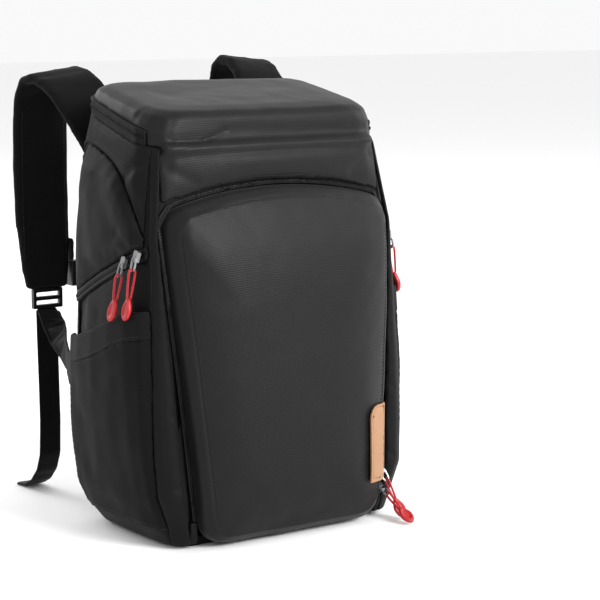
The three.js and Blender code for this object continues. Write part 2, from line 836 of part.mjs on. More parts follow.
function backPadForm(grow) {
  return gridPad(
    8, 6,
    (u, v, lift) => {
      const x = lerp(-bagWidth / 2, bagWidth / 2, u);
      const z = lerp(backPanelBottom - backZipWidth - 2, backPanelTop + 2, v);
      return at(x, backAt(x, z) + lift, z);
    },
    (u, v) => grow + crownAt(u, v, 0, backPanelCrown)
      - backGrooveDepth * Math.exp(-(((u - 0.5) / backGrooveWidth) ** 2)),
    padWall,
  );
}

const backPanel = backPadForm(0).intersect(prism(backOutline(0), 'y', 0, far).add(
  prism(backOutline(backZipWidth), 'y', 0, far)
    .intersect(block([-far, far], [0, far], [-far, backHinge]))));
add('back_panel', backPanel, 'mesh');

const backZipper = bodyForm(backZipProud, 0, formTop)
  .subtract(bodyForm(-clothWall, -1, formTop + 1))
  .intersect(prism(backOutline(backZipWidth), 'y', 0, far))
  .subtract(prism(backOutline(seamGap), 'y', -1, far))
  .intersect(block([-far, far], [0, far], [backHinge + seamGap, far]));
add('back_zipper', backZipper, 'zipper');

// Front band: the bulging panel between the pocket and the lid
const bandHalf = bodyAt(rimFront).halfWidth - cornerRadius / 3;
const frontBand = gridPad(
  12, 5,
  (u, v, lift) => {
    const x = bandHalf * Math.sin(Math.PI * (u - 0.5));
    const z = lerp(pocketArchAt(x) + pocketZipWidth + 2, rimFront - 3, v);
    return at(x, -frontAt(x, z) - lift, z);
  },
  (u, v) => bandEdge + bandCrown * Math.sin(Math.PI * (0.12 + 0.8 * v)) * Math.sin(Math.PI * u),
  clothWall,
).subtract(gapForm);
add('front_band', frontBand, 'ripstop');

// Front pocket: a hollow pouch that is open towards the body
const frontPocket = pocketForm(0, 0)
  .subtract(pocketForm(clothWall, clothWall))
  .subtract(gapForm);
add('front_pocket', frontPocket, 'ripstop');

// Pocket zipper: a strip beside the pocket, over its arch and down both sides
const pocketZipper = bodyForm(pocketZipProud, 0, formTop)
  .subtract(gapForm)
  .intersect(prism(pocketOutline(pocketZipWidth + 2 * seamGap), 'y', -far, 0))
  .subtract(prism(pocketOutline(2 * seamGap), 'y', -far, 1))
  .intersect(block([-far, far], [-far, 0], [pocketZipBottom, far]));
add('pocket_zipper', pocketZipper, 'zipper');

// Leather patch on the lower right of the pocket's face
const patchRight = pocketHalfWidth(patchBottom + patchHeight / 2) - 4;
const patchShape = [
  new THREE.Vector2(patchRight - patchWidth, patchBottom),
  new THREE.Vector2(patchRight, patchBottom),
  new THREE.Vector2(patchRight, patchBottom + patchHeight),
  ...arc(patchRight - patchWidth + patchCorner, patchBottom + patchHeight - patchCorner,
    patchCorner, 90, 180, 4),
];
const patch = pocketForm(-patchThickness - seamGap, -patchThickness - seamGap)
  .subtract(pocketForm(-seamGap, -seamGap))
  .intersect(prism(patchShape, 'y', -far, -bodyDepth / 4));
add('leather_patch', patch, 'leather');

// A flat band along a line: its width lies along a given direction at each point
function band(points, widths, thickness, across) {
  const rings = points.map((point, i) => {
    const ahead = points[Math.min(i + 1, points.length - 1)];
    const behind = points[Math.max(i - 1, 0)];
    const along = ahead.clone().sub(behind).normalize();
    const wide = across[i].clone().addScaledVector(along, -across[i].dot(along)).normalize();
    const thick = at(0, 0, 0).crossVectors(along, wide);
    const bevel = Math.min(thickness / 2, 3);
    const half = widths[i] / 2;
    const section = [
      [half, -thickness / 2 + bevel * 0.6], [half, thickness / 2 - bevel * 0.6],
      [half - bevel, thickness / 2], [bevel - half, thickness / 2],
      [-half, thickness / 2 - bevel * 0.6], [-half, -thickness / 2 + bevel * 0.6],
      [bevel - half, -thickness / 2], [half - bevel, -thickness / 2],
    ];
    return section.map(([w, t]) => (
      point.clone().addScaledVector(wide, w).addScaledVector(thick, t)));
  });
  return loft(rings);
}

// Channel tabs: folded ends below the pocket zipper
const channelTabSide = pocketHalfWidth(pocketZipBottom) + 2 * seamGap;
const channelTab = bodyForm(clothWall + seamGap, 0, formTop)
  .subtract(gapForm)
  .intersect(block(
    [-channelTabSide - channelTabWidth, -channelTabSide], [-far, 0],
    [channelTabBottom, pocketZipBottom - seamGap],
  ));
addPair('channel_tab', channelTab, 'nylon');

// Ways in which a band's width lies
const level = at(1, 0, 0);
const upright = at(0, 0, 1);
const deep = at(0, 1, 0);

// Shoulder straps: padded bands that leave the top of the back, turn over and hang
const rootBack = backAt(0, strapLine[0].height * bagHeight) + backPanelCrown
  + strapThickness / 2 - strapSink;
const strapPoint = (row) => at(
  -row.side * bagWidth / 2,
  rootBack + row.back * strapReach,
  row.height * bagHeight,
);
function shoulderStrap(lift) {
  const points = strapLine.map((row) => (
    strapPoint(row).add(at(0, 0, lift * smoothstep(row.height, 0.9, 1)))));
  return solid(band(
    points,
    strapLine.map((row) => row.width * strapWidth),
    strapThickness,
    strapLine.map(() => at(1, 0, strapTilt)),
  )).subtract(backPadForm(seamGap));
}

add('shoulder_strap_left', shoulderStrap(0), 'mesh');
add('shoulder_strap_right', mirrored(geometryOf(shoulderStrap(strapLift))), 'mesh');

// Ladder locks: plates with two slots at the straps' ends
const strapEnd = strapPoint(strapLine.at(-1));
const lockTop = strapEnd.z - seamGap;
const lockPlate = (width, from, to, depth) => block(
  [strapEnd.x - width / 2, strapEnd.x + width / 2],
  [strapEnd.y - depth / 2, strapEnd.y + depth / 2],
  [lockTop - to, lockTop - from],
);
const slotHeight = (lockHeight - 3 * lockBar) / 2;
const lock = [0, 1].reduce((plate, i) => {
  const from = lockBar + i * (slotHeight + lockBar);
  return plate.subtract(lockPlate(
    lockWidth - 2 * lockBar, from, from + slotHeight, 2 * lockThickness));
}, lockPlate(lockWidth, 0, lockHeight, lockThickness));
addPair('ladder_lock', lock, 'plastic');

// Base tabs: folded pieces in the lower back corners, that point to the ladder locks
const lockFoot = at(strapEnd.x, strapEnd.y, lockTop - lockHeight - seamGap);
const strandEnd = lockFoot.clone().add(at(0, -webThickness, -webThickness));
const tabRoot = bodyAt(strapTabHeight);
const tabY = tabRoot.back - sideBackInset / 2;
const strapTabRoot = at(-sideAt(tabY, strapTabHeight) - clothWall, tabY, strapTabHeight);
const strapTabBend = strapTabRoot.clone().add(at(clothWall / 2, strapTabLength * 0.4, 0));
const strandWay = strandEnd.clone().sub(strapTabBend).normalize();
const strapTabEnd = strapTabBend.clone().addScaledVector(strandWay, strapTabLength * 0.6);
const strapTab = solid(band(
  [strapTabRoot, strapTabBend, strapTabEnd],
  [strapTabWidth, strapTabWidth, webWidth],
  clothWall,
  [upright, upright, upright],
)).subtract(gapForm);
addPair('strap_tab', strapTab, 'webbing');

// Webbing from each base tab up to its ladder lock, and the loose end below the lock
const strandStart = strapTabEnd.clone().addScaledVector(strandWay, 2 * seamGap);
const strand = band(
  strandLine.map((row) => strandStart.clone().lerp(strandEnd, row.along)),
  strandLine.map(() => webWidth),
  webThickness,
  strandLine.map((row) => upright.clone().lerp(level, row.level)),
);
addPair('strap_webbing', strand, 'webbing');

const tailTop = lockFoot.clone().add(at(0, webThickness, 0));
const tail = band(
  tailLine.map((row) => at(
    tailTop.x,
    tailTop.y + row.back * tailTop.z,
    lerp(webThickness / 2 + seamGap, tailTop.z, row.height),
  )),
  tailLine.map(() => webWidth),
  webThickness,
  tailLine.map(() => level),
);
addPair('strap_tail', tail, 'webbing');

// Chest strap halves: a short web on the inner edge of each shoulder strap, and its buckle half
const above = strapLine.findLastIndex((row) => row.height * bagHeight > chestHeight);
const rowShare = (strapLine[above].height - chestHeight / bagHeight)
  / (strapLine[above].height - strapLine[above + 1].height);
const chestPlace = strapPoint(strapLine[above]).lerp(strapPoint(strapLine[above + 1]), rowShare);
const chestHalf = lerp(strapLine[above].width, strapLine[above + 1].width, rowShare) * strapWidth / 2;
const chestSide = chestPlace.x + chestHalf + seamGap + webThickness / 2;
const chestBack = chestPlace.y;
const chestWeb = band(
  [0, 0.5, 1].map((t) => at(chestSide, chestBack, chestHeight - t * chestWebLength)),
  [chestWebWidth, chestWebWidth, chestWebWidth],
  webThickness,
  [deep, deep, deep],
);
addPair('chest_web', chestWeb, 'webbing');
const buckleTop = chestHeight - chestWebLength - seamGap;
const buckle = block(
  [chestSide - buckleThickness / 2 + 2, chestSide + buckleThickness / 2 + 2],
  [chestBack - buckleWidth / 2, chestBack + buckleWidth / 2],
  [buckleTop - buckleLength, buckleTop],
);
addPair('chest_buckle', buckle, 'plastic');

// Grab handle: a web loop on the back, above the back panel
const handleTop = (backPanelTop + backZipWidth + rimBack) / 2 + seamGap;
const handle = band(
  handleLine.map(({ side, out }) => at(
    side * handleSpan / 2,
    backAt(side * handleSpan / 2, handleTop) + seamGap + out * handleReach,
    handleTop + out * webThickness,
  )),
  handleLine.map(() => handleDrop),
  webThickness,
  handleLine.map(() => upright),
);
add('grab_handle', handle, 'webbing');

// Zip pulls: a slider with a wire bail, a red cord through the bail, and a red tab on the cord.
// Each is made from its slider's place, the way out of the cloth, and the tab's middle
const cordSpread = (bailWire + cordDiameter) / 2 + 3 * seamGap;

function addPull(names, slider, out, tab, seat, mirror) {
  const down = tab.clone().sub(slider).normalize();
  const across = at(0, 0, 0).crossVectors(down, out).normalize();
  const lift = at(0, 0, 0).crossVectors(across, down).normalize();
  const frame = (origin) => new THREE.Matrix4().makeBasis(across, down, lift).setPosition(origin);
  const plate = (outline, height, holes) => {
    const shape = new THREE.Shape(outline);
    shape.holes.push(...holes.map((points) => new THREE.Path(points)));
    return new THREE.ExtrudeGeometry(shape, { depth: height, bevelEnabled: false })
      .translate(0, 0, -height / 2);
  };
  const oval = (half, length, steps) => [
    ...arc(0, length - half, half, 0, 180, steps),
    ...arc(0, half, half, 180, 360, steps),
  ];
  const sliderBody = plate([
    new THREE.Vector2(-sliderWidth / 2, -sliderLength * 0.35),
    new THREE.Vector2(-sliderWidth * 0.3, -sliderLength / 2),
    new THREE.Vector2(sliderWidth * 0.3, -sliderLength / 2),
    new THREE.Vector2(sliderWidth / 2, -sliderLength * 0.35),
    new THREE.Vector2(sliderWidth * 0.36, sliderLength / 2),
    new THREE.Vector2(-sliderWidth * 0.36, sliderLength / 2),
  ], sliderHeight, []);
  const inner = oval(bailWidth / 2 - bailWire, bailLength - 2 * bailWire, 4)
    .map((p) => p.add(new THREE.Vector2(0, bailWire)));
  const bail = plate(oval(bailWidth / 2, bailLength, 4), bailWire, [inner]);
  const hardware = solid(sliderBody.applyMatrix4(frame(slider)))
    .add(solid(bail.applyMatrix4(frame(slider.clone().addScaledVector(lift, sliderHeight / 2)))))
    .subtract(seat);
  const bailEnd = slider.clone().addScaledVector(lift, sliderHeight / 2)
    .addScaledVector(down, bailLength - bailWire / 2);
  const tabTop = tab.clone().addScaledVector(down, -tabLength / 2);
  const cordFoot = tabTop.clone().addScaledVector(down, -seamGap);
  const route = cordLine.map((row) => cordFoot.clone()
    .lerp(bailEnd, row.along)
    .addScaledVector(lift, row.out * cordSpread)
    .addScaledVector(down, -(row.past ?? 0) * cordSpread));
  const curve = new THREE.CatmullRomCurve3(route, false, 'centripetal');
  const section = arc(0, 0, cordDiameter / 2, 0, 360, 8).slice(0, -1);
  const cord = new THREE.ExtrudeGeometry(new THREE.Shape(section), {
    steps: cordSteps,
    extrudePath: curve,
    bevelEnabled: false,
  });
  const tabOutline = oval(tabWidth / 2, tabLength, 5).map((p) => (
    p.multiply(new THREE.Vector2(lerp(0.55, 1, clamp(p.y / (tabLength * 0.55), 0, 1)), 1))));
  const tabPlate = plate(tabOutline, tabThickness, []).applyMatrix4(frame(tabTop));
  const pieces = [[names[0], hardware, 'steel'], [names[1], solid(cord), 'redCord'],
    [names[2], solid(tabPlate), 'redRubber']];
  pieces.forEach(([name, shape, finish]) => (mirror ? addPair : add)(name, shape, finish));
}

const sideZipGap = sideZipForm(sideZipProud + seamGap);
const pocketZipGap = bodyForm(pocketZipProud + seamGap, 0, formTop);

for (const pull of sidePulls) {
  const z = archAt(pull.slider) - 1;
  const y = sideY(pull.slider, z);
  const tabHeight = hemAt(pull.tabShare) + pull.aboveHem;
  const tabY = sideY(pull.tabShare, tabHeight);
  const lift = sideZipProud + 2 * seamGap + sliderHeight / 2;
  const hemTop = pocketLiftAt(pull.tabShare, hemAt(pull.tabShare)) + clothWall;
  addPull(
    [`slider_${pull.name}`, `pull_cord_${pull.name}`, `pull_tab_${pull.name}`],
    at(-sideAt(y, z) - lift, y, z),
    at(-1, 0, 0),
    at(-sideAt(tabY, tabHeight) - hemTop - seamGap - tabThickness / 2, tabY, tabHeight),
    sideZipGap,
    true,
  );
}

for (const pull of pocketPulls) {
  const x = pocketHalfWidth(pull.slider) + 3 * seamGap + sliderWidth / 2;
  const y = -frontAt(x, pull.slider) - pocketZipProud - 3 * seamGap - sliderHeight / 2;
  addPull(
    [`pocket_slider_${pull.name}`, `pocket_cord_${pull.name}`, `pocket_tab_${pull.name}`],
    at(x, y, pull.slider),
    at(0, -1, 0),
    at(pocketHalfWidth(pocketBottom) + pull.tabSide, y - pull.tabFront, pull.tabHeight),
    pocketZipGap,
    false,
  );
}

export default pack;
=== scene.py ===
"""Camera backpack: finished cloth, seams, zippers, webbing, cords and studio around a fixed frame.

Metres, +Z up, the front faces -Y. Left is -X, as seen from the front."""

import math
from contextlib import contextmanager

import bmesh
import bpy
import numpy as np
from mathutils import Matrix, Vector, noise
from mathutils.bvhtree import BVHTree
from mathutils.kdtree import KDTree


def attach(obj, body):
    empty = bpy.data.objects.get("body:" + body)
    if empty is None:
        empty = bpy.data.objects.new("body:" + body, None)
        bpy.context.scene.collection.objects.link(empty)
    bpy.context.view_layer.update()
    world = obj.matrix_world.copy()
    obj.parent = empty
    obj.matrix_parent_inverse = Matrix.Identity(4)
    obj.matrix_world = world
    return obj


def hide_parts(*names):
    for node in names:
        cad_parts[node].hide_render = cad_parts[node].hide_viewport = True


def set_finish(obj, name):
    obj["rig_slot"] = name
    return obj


bl_info = {
    "name": "Camera backpack",
    "version": (1, 0, 0),
    "blender": (4, 5, 0),
    "location": "View3D > Sidebar > Backpack",
    "description": "Builds the finished look of a camera backpack piece by piece",
    "category": "Object",
}

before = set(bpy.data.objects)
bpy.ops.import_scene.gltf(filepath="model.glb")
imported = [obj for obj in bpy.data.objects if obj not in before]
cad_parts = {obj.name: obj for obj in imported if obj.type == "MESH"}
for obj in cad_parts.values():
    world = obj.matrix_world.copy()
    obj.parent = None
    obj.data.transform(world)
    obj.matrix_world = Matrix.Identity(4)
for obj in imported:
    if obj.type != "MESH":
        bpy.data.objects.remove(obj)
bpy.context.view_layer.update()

MM = 0.001
EYE = Vector((-1.0903, -1.6472, 0.5209))
LOOK = Vector((0.0, 0.0, 0.208))
LENS = 120.7
AIM_RIGHT = 59 / 2012
AIM_UP = 11 / 2012

# Walls of the body by height: half depth to the front and to the back, in millimetres
WALLS = [
    {"z": 45, "front": 77.1, "back": 85.3},
    {"z": 94, "front": 73.8, "back": 86.9},
    {"z": 156, "front": 70.5, "back": 86.1},
    {"z": 225, "front": 65.6, "back": 84.5},
    {"z": 287, "front": 60.7, "back": 84.5},
    {"z": 336, "front": 55.8, "back": 84.5},
    {"z": 377, "front": 52.5, "back": 82.8},
    {"z": 410, "front": 50.0, "back": 79.5},
]

# Cloths: gloss, colour, roughness, threads per metre, bump height in millimetres, sheen, and
# the kind of pattern. The pulls and the patch take their colours from BackpackColors.
CLOTHS = [
    {"name": "nylon", "gloss": 0.092, "color": (0.0036, 0.0036, 0.0037),
     "rough": 0.56, "threads": 1100, "bump": 0.08, "sheen": 0.03, "kind": "weave"},
    {"name": "ripstop", "gloss": 0.150, "color": (0.0053, 0.0053, 0.0054),
     "rough": 0.46, "threads": 420, "bump": 0.10, "sheen": 0.04, "kind": "rib"},
    {"name": "stretch", "gloss": 0.076, "color": (0.0031, 0.0031, 0.0033),
     "rough": 0.66, "threads": 900, "bump": 0.08, "sheen": 0.04, "kind": "weave"},
    {"name": "binding", "gloss": 0.084, "color": (0.0034, 0.0034, 0.0035),
     "rough": 0.6, "threads": 900, "bump": 0.08, "sheen": 0.03, "kind": "weave"},
    {"name": "mesh", "gloss": 0.050, "color": (0.0043, 0.0043, 0.0044),
     "rough": 0.8, "threads": 420, "bump": 0.30, "sheen": 0.04, "kind": "cells"},
    {"name": "webbing", "gloss": 0.060, "color": (0.0025, 0.0025, 0.0026),
     "rough": 0.55, "threads": 620, "bump": 0.15, "sheen": 0.05, "kind": "weave"},
    {"name": "zipper", "gloss": 0.160, "color": (0.0028, 0.0028, 0.0030),
     "rough": 0.45, "threads": 900, "bump": 0.08, "sheen": 0.0, "kind": "rib"},
    {"name": "red_cord", "gloss": 0.3,
     "rough": 0.55, "threads": 900, "bump": 0.2, "sheen": 0.2, "kind": "weave"},
    {"name": "thread", "gloss": 0.2, "color": (0.0070, 0.0070, 0.0072),
     "rough": 0.5, "threads": 1500, "bump": 0.05, "sheen": 0.1, "kind": "weave"},
    {"name": "leather", "gloss": 0.3,
     "rough": 0.5, "threads": 500, "bump": 0.08, "sheen": 0.0, "kind": "cells"},
]

# Other finishes: colour, roughness, metalness
FINISHES = [
    {"name": "plastic", "color": (0.004, 0.004, 0.0045), "rough": 0.34, "metal": 0.0},
    {"name": "steel", "color": (0.26, 0.26, 0.27), "rough": 0.32, "metal": 1.0},
    {"name": "red_rubber", "rough": 0.42, "metal": 0.0},
    {"name": "floor", "color": (0.93, 0.93, 0.93), "rough": 0.7, "metal": 0.0},
]

# How far in front of or behind its line a fold still reaches, in millimetres
REACH = 32

# The studio's world, and the ground plane's half width in metres
WORLD_LIGHT = 0.95
GROUND = 12

# The front wall in millimetres: half width, corner radius and crown
FRONT_HALF = 132.5
FRONT_CORNER = 24
FRONT_CROWN = 3

# The lid's tilted rim in millimetres: height at the front, rise, where the rise starts, and run
RIM_LOW = 377
RIM_RISE = 33
RIM_START = -50
RIM_RUN = 129.5

# The front pocket in millimetres: gusset depth, swell of its face, cloth thickness, centre height
POCKET_GUSSET = 17
POCKET_SWELL = 22
POCKET_CLOTH = 2.2
POCKET_MIDDLE = 162

# Rays start this far outside the bag, in millimetres
OUTSIDE = 400

# The way in at a fold: to the back, the front, the right or down
BACK, FRONT, RIGHT, DOWN = (0, 1, 0), (0, -1, 0), (1, 0, 0), (0, 0, -1)


def fold(a, b, deep, wide, way):
    """The line from a to b that a fold follows, its depth (negative outwards), its width, and
    the way in. Lengths are in millimetres."""
    return {"a": np.array(a) * MM, "b": np.array(b) * MM, "deep": deep * MM, "wide": wide * MM,
            "way": np.array(way, float)}


FOLDS = {
    "lid": [
        fold((-112, -52, 384), (-76, -56, 383), 1.2, 1.6, BACK),
        fold((-78, -56, 383), (-50, -50, 393), 1.2, 2.4, BACK),
        fold((-54, -50, 392), (124, -50, 388), 1.5, 7.0, BACK),
        fold((-100, -60, 369), (104, -60, 369), -1.6, 9.0, BACK),
        fold((-124, -20, 410), (-114, -50, 402), 1.6, 6.0, RIGHT),
        fold((-90, 10, 440), (70, 40, 440), 1.2, 26.0, DOWN),
        fold((-120, -60, 360), (-88, -60, 344), 1.2, 6.0, BACK),
        fold((116, -60, 364), (88, -60, 346), 1.2, 6.0, BACK),
    ],
    "side_panel": [
        fold((-140, 60, 330), (-140, 40, 262), 1.4, 12.0, RIGHT),
        fold((-140, 30, 352), (-140, -14, 292), 1.2, 11.0, RIGHT),
        fold((-140, -16, 300), (-140, -44, 280), 1.2, 6.0, RIGHT),
    ],
    "corner_yoke": [
        fold((-134, -52, 374), (-138, -6, 344), 1.4, 5.0, RIGHT),
        fold((-134, -50, 366), (-138, -22, 340), -0.8, 7.0, RIGHT),
    ],
    "side_pocket": [
        fold((-150, -60, 190), (-150, 10, 160), 0.8, 12.0, RIGHT),
        fold((-150, 60, 150), (-150, 30, 60), 1.2, 14.0, RIGHT),
        fold((-150, -50, 40), (-150, -24, 120), 0.8, 14.0, RIGHT),
    ],
    "front_pocket": [
        fold((-110, -90, 290), (-80, -90, 230), 0.8, 14.0, BACK),
        fold((110, -90, 298), (88, -90, 250), 0.8, 14.0, BACK),
        fold((-90, -100, 20), (-60, -110, 60), 1.2, 12.0, BACK),
        fold((-40, -110, 14), (30, -112, 30), 0.8, 10.0, BACK),
        fold((90, -100, 24), (70, -110, 70), 1.0, 12.0, BACK),
    ],
    "shoulder_strap": [
        fold((-146, 150, 430), (-88, 150, 436), 0.8, 5.0, DOWN),
        fold((-146, 188, 300), (-88, 188, 296), 0.8, 7.0, BACK),
    ],
    "back_panel": [
        fold((-90, 90, 120), (90, 90, 120), 4.0, 4.0, FRONT),
        fold((-90, 90, 210), (90, 90, 210), 4.0, 4.0, FRONT),
        fold((-60, 90, 300), (60, 90, 300), 4.0, 4.0, FRONT),
    ],
    "front_rib": [
        fold((-130, -80, 60), (-112, -90, 70), 0.8, 4.0, BACK),
        fold((-132, -80, 130), (-116, -84, 136), 0.6, 4.0, BACK),
    ],
    "side_door": [
        fold((-146, -30, 230), (-146, 30, 216), 1.0, 8.0, RIGHT),
    ],
}

# Lights of the studio: place, size and power of each panel
LIGHTS = [
    {"name": "front", "at": (0.9, -3.2, 2.0), "size": 1.6, "watts": 150},
    {"name": "key", "at": (-2.6, -1.8, 2.0), "size": 1.2, "watts": 8},
    {"name": "top", "at": (0.2, 0.9, 2.8), "size": 2.4, "watts": 5},
    {"name": "side", "at": (2.8, -0.6, 1.4), "size": 1.6, "watts": 30},
    {"name": "back", "at": (-0.8, 3.0, 1.8), "size": 1.8, "watts": 40},
]


class BackpackSizes(bpy.types.PropertyGroup):
    """Sizes of what is sewn, woven and moulded"""

    pitch: bpy.props.FloatProperty(
        name="Tooth pitch", description="Distance between two zipper teeth",
        default=1.5 * MM, unit="LENGTH")
    tooth: bpy.props.FloatProperty(
        name="Tooth width", description="Width of the closed zipper's teeth",
        default=2.6 * MM, unit="LENGTH")
    stitch: bpy.props.FloatProperty(
        name="Stitch length", description="Length of a stitch and its gap",
        default=3.6 * MM, unit="LENGTH")
    thread: bpy.props.FloatProperty(
        name="Thread width", description="Thickness of the sewing thread",
        default=0.7 * MM, unit="LENGTH")
    cord: bpy.props.FloatProperty(
        name="Cord thickness", description="Diameter of the zip pulls' cord",
        default=2.2 * MM, unit="LENGTH")
    pressure: bpy.props.FloatProperty(
        name="Padding pressure", description="Pressure that fills the padded cloth",
        default=4.0)
    swell: bpy.props.FloatProperty(
        name="Padding swell", description="How far padded cloth may move when it fills",
        default=3.0 * MM, unit="LENGTH")


class BackpackColors(bpy.types.PropertyGroup):
    """Colours that may be changed"""

    accent: bpy.props.FloatVectorProperty(
        name="Cord colour", description="Colour of the pulls' cords and tabs",
        default=(0.36, 0.005, 0.009), subtype="COLOR", size=3, min=0, max=1)
    patch: bpy.props.FloatVectorProperty(
        name="Patch colour", description="Colour of the leather patch",
        default=(0.31, 0.165, 0.085), subtype="COLOR", size=3, min=0, max=1)


def lerp(a, b, t):
    """Between a and b, by a share."""
    return a + (b - a) * t


def smoothstep(t):
    """A share eased at both ends."""
    t = min(max(t, 0.0), 1.0)
    return t * t * (3 - 2 * t)


# Materials


def finish_of(name):
    """The material of that name, made on first use."""
    made = bpy.data.materials.get(name + "_finish")
    if made:
        return made
    row = next(r for r in CLOTHS + FINISHES if r["name"] == name)
    colors = bpy.context.scene.backpack_colors
    chosen = {"red_cord": colors.accent, "red_rubber": colors.accent, "leather": colors.patch}
    color = (*(chosen[name] if name in chosen else row["color"]), 1)
    material = bpy.data.materials.new(name + "_finish")
    material.use_nodes = True
    tree = material.node_tree
    shader = tree.nodes["Principled BSDF"]
    shader.inputs["Base Color"].default_value = color
    shader.inputs["Roughness"].default_value = row["rough"]
    shader.inputs["Metallic"].default_value = row.get("metal", 0.0)
    if "kind" in row:
        shader.inputs["Specular IOR Level"].default_value = row["gloss"]
        shader.inputs["Sheen Weight"].default_value = row["sheen"]
        shader.inputs["Sheen Roughness"].default_value = 0.45
        weave(tree, shader, row, color)
    return material


def linker(tree):
    """A function that links an output of one node to an input of another."""
    return lambda a, out, b, into: tree.links.new(a.outputs[out], b.inputs[into])


def added(tree, kind, **values):
    """A new node with values for some inputs, whose names have _ in place of spaces."""
    node = tree.nodes.new(kind)
    for name, value in values.items():
        node.inputs[name.replace("_", " ")].default_value = value
    return node


def weave(tree, shader, row, color):
    """Threads as a bump on Object coordinates, and a slow change of tone."""
    link = linker(tree)
    coordinates = added(tree, "ShaderNodeTexCoord")
    if row["kind"] == "cells":
        cells = added(tree, "ShaderNodeTexVoronoi", Scale=row["threads"])
        link(coordinates, "Object", cells, "Vector")
        height = cells, "Distance"
    else:
        waves = []
        up, across = (0, 0.8, 1), (1, 1, 0)
        for way in (up,) if row["kind"] == "rib" else (up, across):
            mapping = added(tree, "ShaderNodeMapping", Scale=way)
            wave = added(tree, "ShaderNodeTexWave", Scale=row["threads"] * math.tau / 10,
                         Distortion=0.6, Detail_Scale=2.0)
            wave.bands_direction = "DIAGONAL"
            link(coordinates, "Object", mapping, "Vector")
            link(mapping, "Vector", wave, "Vector")
            waves.append(wave)
        height = waves[0], "Fac"
        if len(waves) == 2:
            both = added(tree, "ShaderNodeMath")
            both.operation = "MULTIPLY"
            for i in (0, 1):
                link(waves[i], "Fac", both, i)
            height = both, 0
    bump = added(tree, "ShaderNodeBump", Strength=0.6, Distance=row["bump"] * MM)
    link(*height, bump, "Height")
    link(bump, "Normal", shader, "Normal")
    tone = added(tree, "ShaderNodeTexNoise", Scale=22, Detail=6)
    link(coordinates, "Object", tone, "Vector")
    mix = added(tree, "ShaderNodeMix")
    mix.data_type = "RGBA"
    mix.inputs["A"].default_value = tuple(c * 0.82 for c in color[:3]) + (1,)
    mix.inputs["B"].default_value = tuple(min(c * 1.2, 1) for c in color[:3]) + (1,)
    link(tone, "Fac", mix, "Factor")
    link(mix, "Result", shader, "Base Color")


# Meshes


@contextmanager
def editing(mesh):
    """The mesh as a bmesh that is written back afterwards."""
    work = bmesh.new()
    work.from_mesh(mesh)
    yield work
    work.to_mesh(mesh)
    work.free()


def linked(name, data):
    """A new object of the scene."""
    made = bpy.data.objects.new(name, data)
    bpy.context.scene.collection.objects.link(made)
    return made


def taken(made):
    """The mesh of a helper object, which is removed."""
    mesh = made.data.copy()
    bpy.data.objects.remove(made)
    return mesh


def dressed(mesh, finish, smooth=True):
    """Puts one finish on all faces."""
    mesh.materials.clear()
    mesh.materials.append(finish_of(finish))
    mesh.polygons.foreach_set("use_smooth", [smooth] * len(mesh.polygons))
    mesh.polygons.foreach_set("material_index", [0] * len(mesh.polygons))


def piece(name, mesh, finish, slot=None, smooth=True):
    """A finished object at the origin that rides on the bag."""
    mesh.name = name
    made = linked(name, mesh)
    dressed(mesh, finish, smooth)
    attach(made, "root")
    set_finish(made, slot or {"thread": "nylon", "binding": "webbing"}.get(finish, finish))
    return made


def merged(node):
    """A welded copy of a frame node's mesh."""
    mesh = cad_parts[node].data.copy()
    with editing(mesh) as work:
        bmesh.ops.remove_doubles(work, verts=work.verts, dist=0.02 * MM)
        for part in (*work.faces, *work.edges):
            part.smooth = True
    if mesh.has_custom_normals:
        mesh.attributes.remove(mesh.attributes["custom_normal"])
    return mesh


def applied(made):
    """Turns the object's modifiers into its mesh."""
    bpy.context.view_layer.update()
    graph = bpy.context.evaluated_depsgraph_get()
    mesh = bpy.data.meshes.new_from_object(made.evaluated_get(graph), depsgraph=graph)
    made.modifiers.clear()
    made.data = mesh


def dense(mesh, longest):
    """Cuts the long edges of a thin sheet until none is much longer than the given length."""
    with editing(mesh) as work:
        for _ in range(8):
            cut = [e for e in work.edges if e.calc_length() > longest * 1.4]
            if not cut:
                break
            bmesh.ops.subdivide_edges(work, edges=cut, cuts=1)
            bmesh.ops.triangulate(work, faces=work.faces)


def voxels(made, size):
    """Rebuilds a closed piece with faces of one size."""
    modifier = made.modifiers.new("even", "REMESH")
    modifier.mode = "VOXEL"
    modifier.voxel_size = size
    modifier.use_smooth_shade = True
    applied(made)


def points_of(mesh):
    """The mesh's points as rows of an array."""
    co = np.empty(len(mesh.vertices) * 3, np.float32)
    mesh.vertices.foreach_get("co", co)
    return co.reshape(-1, 3).astype(float)


def normals_of(mesh):
    """The normals at the mesh's points."""
    normals = np.empty(len(mesh.vertices) * 3, np.float32)
    mesh.vertices.foreach_get("normal", normals)
    return normals.reshape(-1, 3)


def put(mesh, co):
    """Moves the mesh's points to the rows of an array."""
    mesh.vertices.foreach_set("co", co.astype(np.float32).ravel())
    mesh.update()


def even(mesh, steps):
    """Smooths without shrinking: each step in is followed by a slightly larger one out."""
    co = points_of(mesh)
    edges = np.empty(len(mesh.edges) * 2, np.int32)
    mesh.edges.foreach_get("vertices", edges)
    a, b = edges.reshape(-1, 2).T
    count = np.bincount(np.r_[a, b], minlength=len(co)).clip(1)[:, None]
    for _ in range(steps):
        for share in (0.5, -0.52):
            total = np.zeros_like(co)
            np.add.at(total, a, co[b])
            np.add.at(total, b, co[a])
            co = co + share * (total / count - co)
    put(mesh, co)


def rounded(mesh, steps):
    """Rounds edges and corners: plain smoothing, a few steps only."""
    with editing(mesh) as work:
        for _ in range(steps):
            bmesh.ops.smooth_vert(work, verts=work.verts, factor=0.5, use_axis_x=True,
                                  use_axis_y=True, use_axis_z=True)


